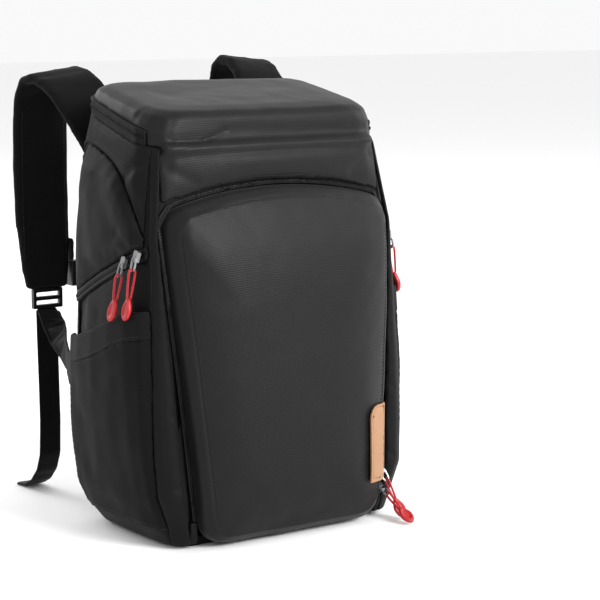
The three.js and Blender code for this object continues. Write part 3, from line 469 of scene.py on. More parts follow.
def ringed(name, verts, count, open_start=False):
    """A mesh of rings with that number of points each, capped at its end and at its start."""
    faces = []
    for i in range(len(verts) // count - 1):
        for k in range(count):
            a, b = i * count + k, i * count + (k + 1) % count
            faces.append((a, b, b + count, a + count))
    if not open_start:
        faces.append(tuple(range(count))[::-1])
    faces.append(tuple(range(len(verts) - count, len(verts))))
    mesh = bpy.data.meshes.new(name)
    mesh.from_pydata(verts, [], faces)
    if not open_start:
        with editing(mesh) as work:
            bmesh.ops.recalc_face_normals(work, faces=work.faces)
    return mesh


def joined(meshes):
    """One mesh of several."""
    work = bmesh.new()
    for mesh in meshes:
        work.from_mesh(mesh)
    result = bpy.data.meshes.new("joined")
    work.to_mesh(result)
    work.free()
    return result


def grooved(made, lines, deep, wide):
    """Presses a made piece along lines that lie on it."""
    mesh = made.data
    co = points_of(mesh)
    points = [p for line in lines for a, b in zip(line, line[1:])
              for p in (a[0], a[0].lerp(b[0], 0.33), a[0].lerp(b[0], 0.67))]
    tree = KDTree(len(points))
    for i, point in enumerate(points):
        tree.insert(point, i)
    tree.balance()
    far = np.array([tree.find(Vector(p))[2] for p in co]) / (wide * MM)
    put(mesh, co - normals_of(mesh) * (np.exp(-(far ** 2)) * deep * MM)[:, None])


def folded(mesh, node, slack):
    """Presses the node's folds of the table into a mesh, and a soft unevenness."""
    co = points_of(mesh)
    normals = normals_of(mesh)
    move = np.zeros_like(co)
    for row in FOLDS.get(node.removesuffix("_left").removesuffix("_right"), []):
        a, way = row["a"], row["way"]
        along = row["b"] - a
        flat = co - np.outer((co - a) @ way, way)
        line = along - (along @ way) * way
        t = ((flat - a) @ line) / (line @ line)
        near = flat - (a + np.outer(t.clip(0, 1), line))
        ends = np.exp(-((np.maximum(np.abs(t - 0.5) - 0.42, 0) / 0.14) ** 2))
        press = np.exp(-(np.linalg.norm(near, axis=1) / row["wide"]) ** 2) * ends
        here = np.abs((co - a) @ way - t.clip(0, 1) * (along @ way)) < REACH * MM
        move += np.outer(press * here * row["deep"], way)
    wave = np.array([noise.noise(Vector(p) * 26) + 0.5 * noise.noise(Vector(p) * 61) for p in co])
    outer = np.sign(((co - np.array([0, 5 * MM, 0])) * normals * (1, 1, 0.2)).sum(1))
    put(mesh, co + move + normals * (wave * outer * slack * MM)[:, None])


def inflated(made, pressure, cap):
    """Cloth filled with a little pressure, moved no further than the cap."""
    before = points_of(made.data)
    cloth = made.modifiers.new("fill", "CLOTH")
    cloth.settings.quality = 4
    cloth.settings.tension_stiffness = 30
    cloth.settings.use_pressure = True
    cloth.settings.uniform_pressure_force = pressure
    cloth.settings.effector_weights.gravity = 0
    cloth.point_cache.frame_start = 1
    cloth.point_cache.frame_end = 14
    for step in range(1, 15):
        bpy.context.scene.frame_set(step)
    applied(made)
    bpy.context.scene.frame_set(1)
    after = points_of(made.data)
    move = after - before
    far = np.linalg.norm(move, axis=1, keepdims=True)
    put(made.data, before + move * np.minimum(1, cap / np.maximum(far, 1e-9)))


def mirrored(made, name):
    """The piece again on the other side."""
    mesh = made.data.copy()
    mesh.transform(Matrix.Scale(-1, 4, (1, 0, 0)))
    mesh.flip_normals()
    finish = mesh.materials[0].name.removesuffix("_finish")
    return piece(name, mesh, finish, made["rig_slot"])


def rib_to_lid(co):
    """The rib's ends drawn out to the lid's corner and round under the base."""
    z = co[:, 2] / MM
    up = np.clip(z - 300, 0, None)
    drawn = co.copy()
    drawn[:, 2] = (z + up * 1.05) * MM
    drawn[:, 0] += up * 0.16 * MM
    drawn[:, 1] += up * 0.24 * MM
    low = np.clip((40 - z) / 28, 0, 1) ** 2
    drawn += np.outer(low, (6 * MM, 3 * MM, -8 * MM))
    return drawn


def tape_under_lid(co):
    """The lid zipper's upper edge tucked up behind the lid's."""
    drawn = co.copy()
    rim = np.array([rim_at(y) for y in co[:, 1] / MM])
    drawn[:, 2] += np.where(co[:, 2] / MM - rim > 6, 2.5, -0.6) * MM
    return drawn


def soft(node, name, finish, voxel=0.0, edge=3.0, steps=3, slack=0.1, fill=0.0, round_off=0,
         slot=None, mesh=None, shape=None):
    """A cloth piece in place of a frame node: evened out, filled, smoothed and folded."""
    sizes = bpy.context.scene.backpack_sizes
    made = piece(name, mesh or merged(node), finish, slot)
    if shape:
        put(made.data, shape(points_of(made.data)))
    if voxel:
        voxels(made, voxel * MM)
    else:
        dense(made.data, edge * MM)
    if fill:
        inflated(made, sizes.pressure * fill, sizes.swell * fill)
    rounded(made.data, round_off)
    even(made.data, steps)
    folded(made.data, node, slack)
    dressed(made.data, finish)
    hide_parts(node)
    return made


def soft_pair(node, name, finish, **how):
    """The left piece and its mirror image."""
    left = soft(node + "_left", name + "_left", finish, **how)
    right = mirrored(left, name + "_right")
    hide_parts(node + "_right")
    return left, right


def hard(node, finish, width=0.4):
    """A moulded or metal frame node with its edges rounded and its finish."""
    made = piece(node + "_finished", merged(node), finish, smooth=False)
    bevel = made.modifiers.new("edges", "BEVEL")
    bevel.width = width * MM
    bevel.segments = 2
    bevel.angle_limit = math.radians(35)
    bevel.harden_normals = True
    applied(made)
    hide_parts(node)


# Places on the bag


def walls_at(z):
    """The walls' half depths at a height, to the front and to the back."""
    rows = WALLS
    z = min(max(z, rows[0]["z"]), rows[-1]["z"])
    upper = next(i for i in range(1, len(rows)) if rows[i]["z"] >= z)
    t = (z - rows[upper - 1]["z"]) / (rows[upper]["z"] - rows[upper - 1]["z"])
    return [lerp(rows[upper - 1][k], rows[upper][k], t) for k in ("front", "back")]


def side_y(share, z):
    """A place along a side wall, from -1 at the front to 1 at the back."""
    front, back = walls_at(z)
    return share * (back - 10 if share > 0 else front - 5)


def towards_front(share):
    """The same place, from 0 at the back to 1 at the front."""
    return min(max((1 - share) / 2, 0), 1)


def arch_at(share):
    """Height of the side door's arched zipper."""
    t = towards_front(share)
    return lerp(226, 283, t) + 6 * math.sin(math.pi * t)


def seam_at(share):
    """Height of the curved seam between the side panel and the yoke."""
    t = towards_front(share)
    return 380 - 92 * (0.25 * t + 0.75 * t ** 2.6)


def hem_at(share):
    """Height of the side pocket's hem."""
    return lerp(190, 228, smoothstep(towards_front(share)))


def pocket_half(z):
    """The front pocket's half width at a height."""
    t = min(max((z - 4) / 316, 0), 1)
    return lerp(206, 258, smoothstep(t) * 0.4 + 0.6 * t) / 2


def rim_at(y):
    """Height of the lid's tilted rim at a depth."""
    return RIM_LOW + RIM_RISE * min(max((y - RIM_START) / RIM_RUN, -0.2), 1.2)


def front_wall(x, z):
    """How far the front wall lies in front of the middle, in millimetres."""
    past = min(max(abs(x) - (FRONT_HALF - FRONT_CORNER), 0), FRONT_CORNER)
    flat = walls_at(z)[0] - FRONT_CORNER + math.sqrt(FRONT_CORNER ** 2 - past ** 2)
    return flat + FRONT_CROWN * (1 - (x / FRONT_HALF) ** 2)


def pocket_edge(made, inset):
    """The seam round the front pocket's face, from its lower right over the arch."""
    rise = [(pocket_half(z) - inset, z) for z in np.linspace(30, 296, 60)]
    arch = [(x, pocket_arch(x) - inset) for x in np.linspace(112 - inset, inset - 112, 60)]
    return front_line(surface(made.name), over(rise, arch), 0.1)


def over(rise, middle):
    """The points of one side, the middle, and the side mirrored."""
    return rise + middle + [(-x, z) for x, z in rise[::-1]]


def pocket_arch(x):
    """Height of the front pocket's arched top."""
    return 320 + 19 * (1 - (2 * x / 258) ** 2)


def pocket_outline(count):
    """The front pocket's outline on the front wall, as evenly spaced points (x, z)."""
    low = [(83 + 20 * math.cos(math.radians(a)), 24 + 20 * math.sin(math.radians(a)))
           for a in range(-90, 1, 6)]
    side = [(pocket_half(z), z) for z in np.linspace(30, 300, 40)]
    arch = [(x, pocket_arch(x)) for x in np.linspace(114, -114, 60)]
    line = np.array(over(low + side + [(127.3, 311)], arch))
    line = np.vstack([line, line[:1]])
    run = np.r_[0, np.cumsum(np.linalg.norm(np.diff(line, axis=0), axis=1))]
    steps = np.linspace(0, run[-1], count, endpoint=False)
    line = np.stack([np.interp(steps, run, line[:, i]) for i in (0, 1)], axis=1)
    for _ in range(6):
        line = (np.roll(line, 1, 0) + 2 * line + np.roll(line, -1, 0)) / 4
    return line


def pocket_skin():
    """A pouch from the wall outwards: gusset, rounded edge, and a face that swells evenly."""
    line = pocket_outline(260)
    gusset = [(0, 0.02), (0, 0.3), (0.002, 0.55), (0.008, 0.76), (0.018, 0.9), (0.030, 0.975)]
    insets = list(np.arange(0.045, 0.12, 0.007)) + list(np.linspace(0.135, 0.97, 26))
    verts = []
    rings = [(s, g, 0.0) for s, g in gusset] + [(s, 1.0, 1 - (1 - s) ** 3.6) for s in insets]
    for share, edge, swell in rings:
        for x, z in line:
            px, pz = lerp(x, 0, share), lerp(z, POCKET_MIDDLE, share)
            pucker = 0.5 * noise.noise(Vector((x * 0.11, z * 0.11, 3))) * math.exp(-share / 0.09)
            depth = POCKET_GUSSET * edge + POCKET_SWELL * swell + (pucker if edge == 1.0 else 0)
            verts.append(Vector((px, -front_wall(px, pz) - depth, pz)) * MM)
    made = linked("pocket", ringed("pocket", verts, len(line), open_start=True))
    wall = made.modifiers.new("wall", "SOLIDIFY")
    wall.thickness = POCKET_CLOTH * MM
    wall.offset = -1
    applied(made)
    return taken(made)


def surface(*names):
    """A tree for laying lines on the finished pieces of those names."""
    work = bmesh.new()
    for name in names:
        work.from_mesh(bpy.data.objects[name].data)
    tree = BVHTree.FromBMesh(work)
    work.free()
    return tree


def laid(tree, origins, way, lift):
    """Points where rays from the origins along a way meet the surface, lifted off it."""
    way = Vector(way).normalized()
    line = []
    for origin in origins:
        hit, normal, _, _ = tree.ray_cast(Vector(origin) * MM, way)
        if hit is not None:
            normal = normal if normal.dot(way) < 0 else -normal
            line.append((hit + normal * lift * MM, normal))
    return line


def side_line(tree, z_at, lift, shares, count):
    """A line on the left wall whose height is a function of its place along the wall."""
    rays = []
    for i in range(count + 1):
        share = lerp(*shares, i / count)
        z = z_at(share)
        rays.append((-OUTSIDE, side_y(share, z), z))
    return laid(tree, rays, (1, 0, 0), lift)


def front_line(tree, points, lift):
    """A line on the front through points (x, z)."""
    return laid(tree, [(x, -OUTSIDE, z) for x, z in points], (0, 1, 0), lift)


def flipped(line):
    """The same line on the other side."""
    turn = Vector((-1, 1, 1))
    return [(p * turn, n * turn) for p, n in line]


def around(tree, above, lift, count=150):
    """A line round the back and both sides, at a height above the tilted rim."""
    line = []
    for i in range(count + 1):
        angle = math.radians(lerp(-38, 218, i / count))
        way = Vector((math.cos(angle), math.sin(angle), 0))
        origin = Vector((0, 10, 0)) + way * OUTSIDE
        y = min(max(10 + way.y * 130, -48), 80)
        for _ in range(3):
            start = Vector((origin.x, origin.y, rim_at(y) + above)) * MM
            hit, normal, _, _ = tree.ray_cast(start, -way)
            if hit is None:
                break
            y = hit.y / MM
        if hit is not None:
            line.append((hit + normal * lift * MM, normal))
    return line


def back_line(grow):
    """Round the top and sides of the back panel, as rays from behind."""
    half, low, high, radius = 113.6 + grow, 74, 386 + grow, 44 + grow
    line = [(half, OUTSIDE, z) for z in np.linspace(low, high - radius, 24)]
    for turn, side in ((0, 1), (90, -1)):
        line += [(side * (half - radius) + radius * math.cos(math.radians(turn + a)), OUTSIDE,
                  high - radius + radius * math.sin(math.radians(turn + a)))
                 for a in range(0, 91, 10)]
    return line + [(-half, OUTSIDE, z) for z in np.linspace(high - radius, low, 24)]


# Rows of small shapes along lines


def row_tree():
    """Small boxes or beads in a row along each line of a mesh, lying on the surface."""
    made = bpy.data.node_groups.get("row_along_line")
    if made:
        return made
    tree = bpy.data.node_groups.new("row_along_line", "GeometryNodeTree")
    face = tree.interface
    face.new_socket("Lines", in_out="INPUT", socket_type="NodeSocketGeometry")
    for name in ("Spacing", "Length", "Width", "Height"):
        face.new_socket(name, in_out="INPUT", socket_type="NodeSocketFloat")
    face.new_socket("Rounded", in_out="INPUT", socket_type="NodeSocketBool")
    face.new_socket("Finish", in_out="INPUT", socket_type="NodeSocketMaterial")
    face.new_socket("Row", in_out="OUTPUT", socket_type="NodeSocketGeometry")
    link = linker(tree)
    given, result = added(tree, "NodeGroupInput"), added(tree, "NodeGroupOutput")
    curve = added(tree, "GeometryNodeMeshToCurve")
    spaced = added(tree, "GeometryNodeResampleCurve")
    spaced.mode = "LENGTH"
    tangent = added(tree, "GeometryNodeInputTangent")
    out = added(tree, "GeometryNodeInputNamedAttribute", Name="out")
    out.data_type = "FLOAT_VECTOR"
    turn = added(tree, "FunctionNodeAxesToRotation")
    turn.primary_axis = "X"
    turn.secondary_axis = "Z"
    size = added(tree, "ShaderNodeCombineXYZ")
    bead = added(tree, "GeometryNodeMeshUVSphere", Segments=6, Rings=4, Radius=0.5)
    box = added(tree, "GeometryNodeMeshCube")
    pick = added(tree, "GeometryNodeSwitch")
    pick.input_type = "GEOMETRY"
    spread = added(tree, "GeometryNodeInstanceOnPoints")
    real = added(tree, "GeometryNodeRealizeInstances")
    dress = added(tree, "GeometryNodeSetMaterial")
    link(given, "Lines", curve, "Mesh")
    link(curve, "Curve", spaced, "Curve")
    link(given, "Spacing", spaced, "Length")
    link(tangent, "Tangent", turn, "Primary Axis")
    link(out, "Attribute", turn, "Secondary Axis")
    for axis, name in zip("XYZ", ("Length", "Width", "Height")):
        link(given, name, size, axis)
    link(given, "Rounded", pick, "Switch")
    link(box, "Mesh", pick, "False")
    link(bead, "Mesh", pick, "True")
    link(spaced, "Curve", spread, "Points")
    link(pick, "Output", spread, "Instance")
    link(turn, "Rotation", spread, "Rotation")
    link(size, "Vector", spread, "Scale")
    link(spread, "Instances", real, "Geometry")
    link(real, "Geometry", dress, "Geometry")
    link(given, "Finish", dress, "Material")
    link(dress, "Geometry", result, "Row")
    return tree


def rows(name, lines, finish, spacing, length, width, height, rounded=True, slot=None):
    """A plain mesh of small shapes along all the lines."""
    lines = [line for line in lines if len(line) > 1]
    mesh = bpy.data.meshes.new(name)
    points = [p for line in lines for p, _ in line]
    edges, base = [], 0
    for line in lines:
        edges += [(base + i, base + i + 1) for i in range(len(line) - 1)]
        base += len(line)
    mesh.from_pydata(points, edges, [])
    out = mesh.attributes.new("out", "FLOAT_VECTOR", "POINT")
    out.data.foreach_set("vector", [c for line in lines for _, n in line for c in n])
    made = linked(name, mesh)
    modifier = made.modifiers.new("row", "NODES")
    modifier.node_group = row_tree()
    values = {"Spacing": spacing, "Length": length, "Width": width, "Height": height,
              "Rounded": rounded, "Finish": finish_of(finish)}
    for socket in modifier.node_group.interface.items_tree:
        if socket.in_out == "INPUT" and socket.name in values:
            modifier[socket.identifier] = values[socket.name]
    applied(made)
    if not made.data.polygons:
        raise RuntimeError(name + " came out empty")
    return piece(name, taken(made), finish, slot, smooth=rounded)


def teeth(name, lines):
    """Zipper teeth along lines."""
    sizes = bpy.context.scene.backpack_sizes
    return rows(name, lines, "zipper", sizes.pitch, sizes.pitch * 0.62, sizes.tooth, 1.1 * MM,
                rounded=False)


def stitched(name, lines, slot="nylon"):
    """Stitches along lines."""
    sizes = bpy.context.scene.backpack_sizes
    return rows(name, lines, "thread", sizes.stitch, sizes.stitch * 0.78, sizes.thread,
                sizes.thread * 0.8, slot=slot)


def tube(points, radius, sides=10):
    """A closed tube along points, its ends capped."""
    points = [Vector(p) for p in points]
    verts = []
    side = None
    for i, point in enumerate(points):
        along = (points[min(i + 1, len(points) - 1)] - points[max(i - 1, 0)]).normalized()
        side = along.orthogonal() if side is None else side - along * side.dot(along)
        side = side.normalized()
        up = along.cross(side)
        for k in range(sides):
            angle = math.tau * k / sides
            verts.append(point + (side * math.cos(angle) + up * math.sin(angle)) * radius)
    return ringed("tube", verts, sides)


def rounded_line(points, steps):
    """A smooth line through points, by the Catmull-Rom rule."""
    line = []
    for i in range(len(points) - 1):
        p0, p1 = points[max(i - 1, 0)], points[i]
        p2, p3 = points[i + 1], points[min(i + 2, len(points) - 1)]
        for k in range(steps):
            t = k / steps
            line.append(0.5 * (2 * p1 + (p2 - p0) * t + (2 * p0 - 5 * p1 + 4 * p2 - p3) * t ** 2
                               + (3 * p1 - p0 - 3 * p2 + p3) * t ** 3))
    return line + [points[-1]]


# Zip pulls


def axes_of(node):
    """A flat node's long and thin axes."""
    co = points_of(merged(node))
    way = np.linalg.svd(co - co.mean(0), full_matrices=False)[2]
    return Vector(way[0]), Vector(way[2])


def span(co, way):
    """Lowest and highest place of points along a way."""
    reach = co @ np.array(way)
    return reach.min(), reach.max()


def pull(slider, cord, tab, out):
    """Slider with its bail, cord through the bail, and tab with a sunk oval."""
    sizes = bpy.context.scene.backpack_sizes
    hard(slider, "steel", 0.35)
    along, lift = axes_of(tab)
    co = points_of(merged(tab))
    metal = points_of(merged(slider))
    rope = points_of(merged(cord))
    if along.dot(Vector(metal.mean(0)) - Vector(co.mean(0))) > 0:
        along = -along
    if lift.dot(out) < 0:
        lift = -lift
    across = lift.cross(along)
    middle = Vector(co.mean(0))
    middle += along * (sum(span(co, along)) / 2 - middle.dot(along))
    half, wide, thick = (np.ptp(span(co, way)) / 2 for way in (along, across, lift))
    spread = np.ptp(span(rope, lift)) / 2 - sizes.cord / 2
    centre = Vector((rope.max(0) + rope.min(0)) / 2)
    centre += along * (middle.dot(along) - centre.dot(along))
    centre += lift * (sum(span(rope, lift)) / 2 - centre.dot(lift))
    top = middle - along * (half - 0.5 * MM)
    far = span(rope, along)[0] + sizes.cord / 2
    ring = centre + along * (far + spread - middle.dot(along))
    line = [top + lift * 0.55 * spread, top.lerp(ring, 0.35) + lift * 0.8 * spread,
            top.lerp(ring, 0.8) + lift * spread, ring + lift * spread,
            ring + lift * 0.72 * spread - along * 0.72 * spread, ring - along * spread,
            ring - lift * 0.72 * spread - along * 0.72 * spread, ring - lift * spread,
            top.lerp(ring, 0.8) - lift * spread, top.lerp(ring, 0.35) - lift * 0.8 * spread,
            top - lift * 0.55 * spread]
    line = rounded_line(line, 5)
    rope_made = piece(cord + "_braided", tube(line, sizes.cord / 2), "red_cord")
    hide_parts(cord)
    oval = oval_tab(middle, along, across, lift, half, wide, thick)
    tab_made = piece(tab + "_moulded", oval, "red_rubber")
    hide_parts(tab)


def oval_tab(middle, along, across, lift, half, wide, thick):
    """A long oval that narrows to the cord, rounded, with a sunk oval in both faces."""
    profile = [(0.90, 1.0), (0.98, 0.62), (1.0, 0.0), (0.98, -0.62), (0.90, -1.0)]
    sunk = [(0.62, -1.0), (0.56, -0.62), (0.3, -0.6)]
    rings = [(r, -h) for r, h in sunk[::-1]] + profile + sunk
    count = 32
    verts = []
    for share, height in rings:
        for k in range(count):
            angle = math.tau * k / count
            u, v = math.cos(angle), math.sin(angle)
            width = wide * lerp(0.66, 1.0, smoothstep((u + 1) / 1.1))
            verts.append(middle + along * (half * share * u) + across * (width * share * v)
                         + lift * (thick * height))
    return ringed("oval", verts, count)


class BACKPACK_OT_stage(bpy.types.Operator):
    """Floor, lights, backdrop and the camera that matches the photograph"""

    bl_idname = "backpack.stage"
    bl_label = "Studio"

    def execute(self, context):
        scene = context.scene
        data = bpy.data.cameras.new("camera")
        data.lens = LENS
        data.clip_end = 60
        camera = linked("camera", data)
        ahead = (LOOK - EYE).normalized()
        right = ahead.cross(Vector((0, 0, 1))).normalized()
        aim = ahead + right * AIM_RIGHT + right.cross(ahead) * AIM_UP
        camera.location = EYE
        camera.rotation_euler = aim.to_track_quat("-Z", "Y").to_euler()
        scene.camera = camera
        mesh = bpy.data.meshes.new("floor")
        corners = [(x * GROUND, y * GROUND, 0) for x, y in ((-1, -1), (1, -1), (1, 1), (-1, 1))]
        mesh.from_pydata(corners, [], [(0, 1, 2, 3)])
        mesh.materials.append(finish_of("floor"))
        linked("floor", mesh)
        scene.view_settings.view_transform = "Standard"
        world = bpy.data.worlds.new("studio")
        world.use_nodes = True
        sky = world.node_tree.nodes["Background"]
        sky.inputs["Color"].default_value = (1, 1, 1, 1)
        sky.inputs["Strength"].default_value = WORLD_LIGHT
        scene.world = world
        for row in LIGHTS:
            lamp = bpy.data.lights.new(row["name"], "AREA")
            lamp.shape = "DISK"
            lamp.size = row["size"]
            lamp.energy = row["watts"]
            light = linked(row["name"], lamp)
            light.location = row["at"]
            light.rotation_euler = (LOOK - light.location).to_track_quat("-Z", "Y").to_euler()
        return {"FINISHED"}


class BACKPACK_OT_pulls(bpy.types.Operator):
    """Zip sliders with wire bails, red cords and red tabs"""

    bl_idname = "backpack.pulls"
    bl_label = "Zip pulls"

    def execute(self, context):
        for side, out in (("left", (-1, 0, 0)), ("right", (1, 0, 0))):
            for place in ("front", "rear"):
                pull(f"slider_{place}_{side}", f"pull_cord_{place}_{side}",
                     f"pull_tab_{place}_{side}", Vector(out))
        for place in ("upper", "lower"):
            pull(f"pocket_slider_{place}", f"pocket_cord_{place}", f"pocket_tab_{place}",
                 Vector((0, -1, 0)))
        return {"FINISHED"}


class BACKPACK_OT_shell(bpy.types.Operator):
    """Padded tub, rolled front ribs and the folded tape ends"""

    bl_idname = "backpack.shell"
    bl_label = "Shell and ribs"

    def execute(self, context):
        soft("main_shell", "shell_cloth", "nylon", edge=5.0, slack=0.2)
        backing = []
        for z in np.linspace(8, 180, 30):
            for reach in (1.0, 7.0, 14.0, 20.0):
                x = pocket_half(z) + reach
                backing.append(Vector((-x, 2.5 - front_wall(x, z), z)) * MM)
        mesh = bpy.data.meshes.new("backing")
        mesh.from_pydata(backing, [], [(4 * i + k, 4 * i + k + 1, 4 * i + k + 5, 4 * i + k + 4)
                                       for i in range(29) for k in range(3)])
        lining = piece("channel_lining_left", mesh, "zipper", "nylon")
        mirrored(lining, "channel_lining_right")
        soft_pair("front_rib", "rib_cloth", "nylon", voxel=1.5, steps=10, round_off=10,
                  slack=0.3, shape=rib_to_lid)
        soft_pair("channel_tab", "tape_end", "nylon", edge=2.0)
        return {"FINISHED"}


class BACKPACK_OT_lid(bpy.types.Operator):
    """Soft lid that runs on in the band above the front pocket, and its zipper tape"""

    bl_idname = "backpack.lid"
    bl_label = "Lid and front band"

    def execute(self, context):
        seam = [Vector((x, -front_wall(x, RIM_LOW) - 1.5, RIM_LOW)) * MM
                for x in range(-120, 121, 10)]
        hinge = tube(seam, 5.5 * MM)
        skin = joined([merged("lid"), merged("front_band"), hinge])
        lid = soft("lid", "lid_cloth", "ripstop", voxel=1.9, steps=10, slack=0.6, round_off=7,
                   slot="nylon", mesh=skin)
        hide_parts("lid", "front_band")
        tape = soft("lid_zipper", "lid_zipper_tape", "nylon", edge=1.8, slot="zipper",
                    shape=tape_under_lid)
        lines = [around(surface(tape.name), above, 0.1) for above in (2.2, 9.0)]
        grooved(tape, lines, 1.3, 0.9)
        return {"FINISHED"}


class BACKPACK_OT_sides(bpy.types.Operator):
    """Upper side panels, corner yokes, side doors and their zipper tapes"""

    bl_idname = "backpack.sides"
    bl_label = "Sides"

    def execute(self, context):
        for made in soft_pair("side_panel", "side_panel_cloth", "nylon", voxel=2.0, steps=14,
                              slack=0.8, fill=0.6):
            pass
        soft_pair("corner_yoke", "yoke_cloth", "nylon", steps=8, slack=0.5)
        for made in soft_pair("side_door", "door_cloth", "nylon", voxel=2.4, steps=10,
                              slack=0.5):
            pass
        soft_pair("side_zipper", "side_zipper_tape", "zipper")
        return {"FINISHED"}


class BACKPACK_OT_side_pockets(bpy.types.Operator):
    """Stretch side pockets and their webbing hems"""

    bl_idname = "backpack.side_pockets"
    bl_label = "Side pockets"

    def execute(self, context):
        pair = soft_pair("side_pocket", "side_pocket_cloth", "stretch", edge=4.0, steps=12,
                         slack=0.9)
        soft_pair("side_pocket_hem", "pocket_hem_webbing", "binding", steps=6, slack=0.3,
                  slot="webbing")
        return {"FINISHED"}


class BACKPACK_OT_front(bpy.types.Operator):
    """Bulging front pocket with its edge seam, and its zipper tape"""

    bl_idname = "backpack.front"
    bl_label = "Front"

    def execute(self, context):
        pocket = soft("front_pocket", "front_pocket_cloth", "ripstop", edge=60, steps=2,
                      slack=0.5, mesh=pocket_skin())
        grooved(pocket, [pocket_edge(pocket, 9.0)], 1.1, 1.0)
        soft("pocket_zipper", "pocket_zipper_tape", "zipper", steps=4)
        return {"FINISHED"}


class BACKPACK_OT_patch(bpy.types.Operator):
    """Bare leather patch with a pressed border"""

    bl_idname = "backpack.patch"
    bl_label = "Leather patch"

    def execute(self, context):
        patch = soft("leather_patch", "patch_leather", "leather", edge=0.8)
        right = pocket_half(82) - 4
        border = [(right - 3, 47), (right - 23, 47), (right - 23, 108), (right - 20, 114),
                  (right - 14, 117), (right - 3, 117), (right - 3, 47)]
        fine = [(lerp(a[0], b[0], t / 12), lerp(a[1], b[1], t / 12))
                for a, b in zip(border, border[1:]) for t in range(12)]
        grooved(patch, [front_line(surface(patch.name), fine, 0.05)], 1.2, 0.9)
        return {"FINISHED"}


class BACKPACK_OT_back(bpy.types.Operator):
    """Padded back panel with its channels, and its zipper tape"""

    bl_idname = "backpack.back"
    bl_label = "Back panel"

    def execute(self, context):
        panel = soft("back_panel", "back_panel_mesh", "mesh", voxel=3.0, steps=16, slack=0.6,
                     fill=0.8)
        soft("back_zipper", "back_zipper_tape", "zipper", edge=4.0, steps=4)
        return {"FINISHED"}


class BACKPACK_OT_straps(bpy.types.Operator):
    """Padded shoulder straps"""

    bl_idname = "backpack.straps"
    bl_label = "Shoulder straps"

    def execute(self, context):
        for side in ("left", "right"):
            strap = soft("shoulder_strap_" + side, "strap_padding_" + side, "mesh",
                         voxel=2.6, steps=30, slack=0.5, fill=0.35)
        return {"FINISHED"}


class BACKPACK_OT_webbing(bpy.types.Operator):
    """Webbing straps, their loose ends, tabs, chest webs and the grab handle"""

    bl_idname = "backpack.webbing"
    bl_label = "Webbing"

    def execute(self, context):
        for node in ("strap_tab", "strap_webbing", "strap_tail", "chest_web"):
            soft_pair(node, node + "_woven", "webbing", steps=14, slack=0.15)
        soft("grab_handle", "grab_handle_woven", "webbing", steps=20, slack=0.15)
        return {"FINISHED"}


class BACKPACK_OT_plastics(bpy.types.Operator):
    """Ladder locks and chest buckle halves"""

    bl_idname = "backpack.plastics"
    bl_label = "Plastic hardware"

    def execute(self, context):
        for side in ("left", "right"):
            hard("ladder_lock_" + side, "plastic", 0.9)
            hard("chest_buckle_" + side, "plastic", 1.2)
        return {"FINISHED"}


class BACKPACK_OT_zippers(bpy.types.Operator):
    """Teeth of the lid, side, pocket and back zippers"""

    bl_idname = "backpack.zippers"
    bl_label = "Zipper teeth"

    def execute(self, context):
        tape = surface("side_zipper_tape_left")
        side = side_line(tape, lambda s: arch_at(s) + 0.2, 0.3, (0.98, -0.95), 60)
        teeth("side_teeth", [side, flipped(side)])
        tape = surface("pocket_zipper_tape")
        rise = [(pocket_half(z) + 2.4, z) for z in np.linspace(28, 306, 40)]
        arch = [(x, pocket_arch(x) + 2.4) for x in np.linspace(118, -118, 50)]
        teeth("pocket_teeth", [front_line(tape, over(rise, arch), 0.3)])
        tape = surface("lid_zipper_tape")
        teeth("lid_teeth", [around(tape, 6.0, 0.3)])
        tape = surface("back_zipper_tape")
        teeth("back_teeth", [laid(tape, back_line(3.0), (0, -1, 0), 0.3)])
        return {"FINISHED"}


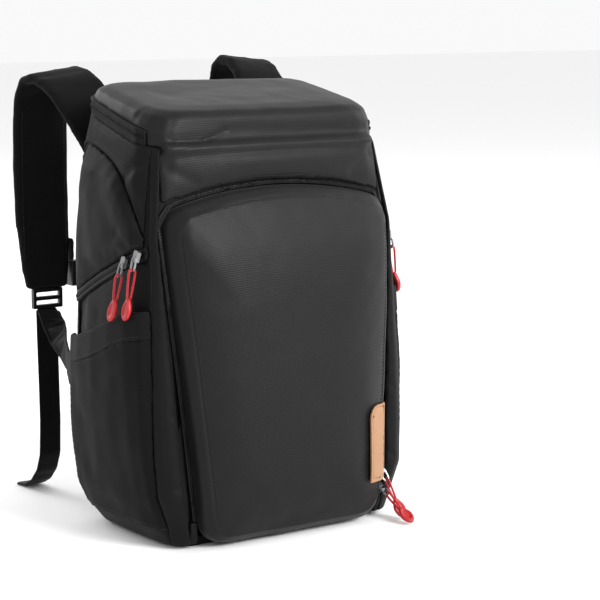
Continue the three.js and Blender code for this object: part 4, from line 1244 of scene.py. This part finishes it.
class BACKPACK_OT_stitches(bpy.types.Operator):
    """Stitch lines along the seams, hems and webbing"""

    bl_idname = "backpack.stitches"
    bl_label = "Stitches"

    def execute(self, context):
        wall = surface("side_panel_cloth_left", "yoke_cloth_left")
        pocket = surface("side_pocket_cloth_left")
        hem = surface("pocket_hem_webbing_left")
        lid = surface("lid_cloth")
        lines = [side_line(wall, lambda s: seam_at(s) + 4.5, 0.1, (0.9, -0.86), 60),
                 side_line(wall, lambda s: arch_at(s) + 9.5, 0.1, (0.96, -0.84), 60)]
        stitched("side_stitches", lines + [flipped(line) for line in lines])
        lines = [side_line(hem, lambda s: hem_at(s) - 3, 0.1, (0.9, -0.9), 60),
                 side_line(hem, lambda s: hem_at(s) - 23, 0.1, (0.9, -0.9), 60),
                 side_line(pocket, lambda s: 24.0, 0.1, (0.9, -0.9), 40)]
        stitched("pocket_stitches", lines + [flipped(line) for line in lines], "stretch")
        band = [(x, pocket_arch(x) + 9) for x in np.linspace(112, -112, 60)]
        lines = [pocket_edge(bpy.data.objects["front_pocket_cloth"], 11.0),
                 front_line(lid, band, 0.1)]
        stitched("front_stitches", lines, "ripstop")
        stitched("lid_stitches", [around(lid, 15.5, 0.1)])
        lines = []
        for side, x_at in (("left", -1), ("right", 1)):
            strap = surface("strap_padding_" + side)
            for inset in (-24, 24):
                for y, way in ((OUTSIDE, -1), (130, 1)):
                    rays = [(x_at * 117 + inset, y, z) for z in np.linspace(250, 400, 60)]
                    lines.append(laid(strap, rays, (0, way, 0), 0.1))
        stitched("strap_stitches", lines, "mesh")
        return {"FINISHED"}


class BACKPACK_PT_panel(bpy.types.Panel):
    """The backpack's sizes, colours and building steps"""

    bl_idname = "BACKPACK_PT_panel"
    bl_label = "Camera backpack"
    bl_space_type = "VIEW_3D"
    bl_region_type = "UI"
    bl_category = "Backpack"

    def draw(self, context):
        layout = self.layout
        for group in (context.scene.backpack_sizes, context.scene.backpack_colors):
            for name in group.bl_rna.properties.keys():
                if name not in ("rna_type", "name"):
                    layout.prop(group, name)
        for step in STEPS:
            layout.operator(step.bl_idname)


STEPS = (
    BACKPACK_OT_stage,
    BACKPACK_OT_pulls,
    BACKPACK_OT_shell,
    BACKPACK_OT_lid,
    BACKPACK_OT_sides,
    BACKPACK_OT_side_pockets,
    BACKPACK_OT_front,
    BACKPACK_OT_patch,
    BACKPACK_OT_back,
    BACKPACK_OT_straps,
    BACKPACK_OT_webbing,
    BACKPACK_OT_plastics,
    BACKPACK_OT_zippers,
    BACKPACK_OT_stitches,
)
CLASSES = (BackpackSizes, BackpackColors, *STEPS, BACKPACK_PT_panel)


def register():
    for cls in CLASSES:
        bpy.utils.register_class(cls)
    bpy.types.Scene.backpack_sizes = bpy.props.PointerProperty(type=BackpackSizes)
    bpy.types.Scene.backpack_colors = bpy.props.PointerProperty(type=BackpackColors)


def unregister():
    del bpy.types.Scene.backpack_colors
    del bpy.types.Scene.backpack_sizes
    for cls in reversed(CLASSES):
        bpy.utils.unregister_class(cls)


def main():
    register()
    for step in STEPS:
        group, name = step.bl_idname.split(".")
        getattr(getattr(bpy.ops, group), name)()


if __name__ == "__main__":
    main()
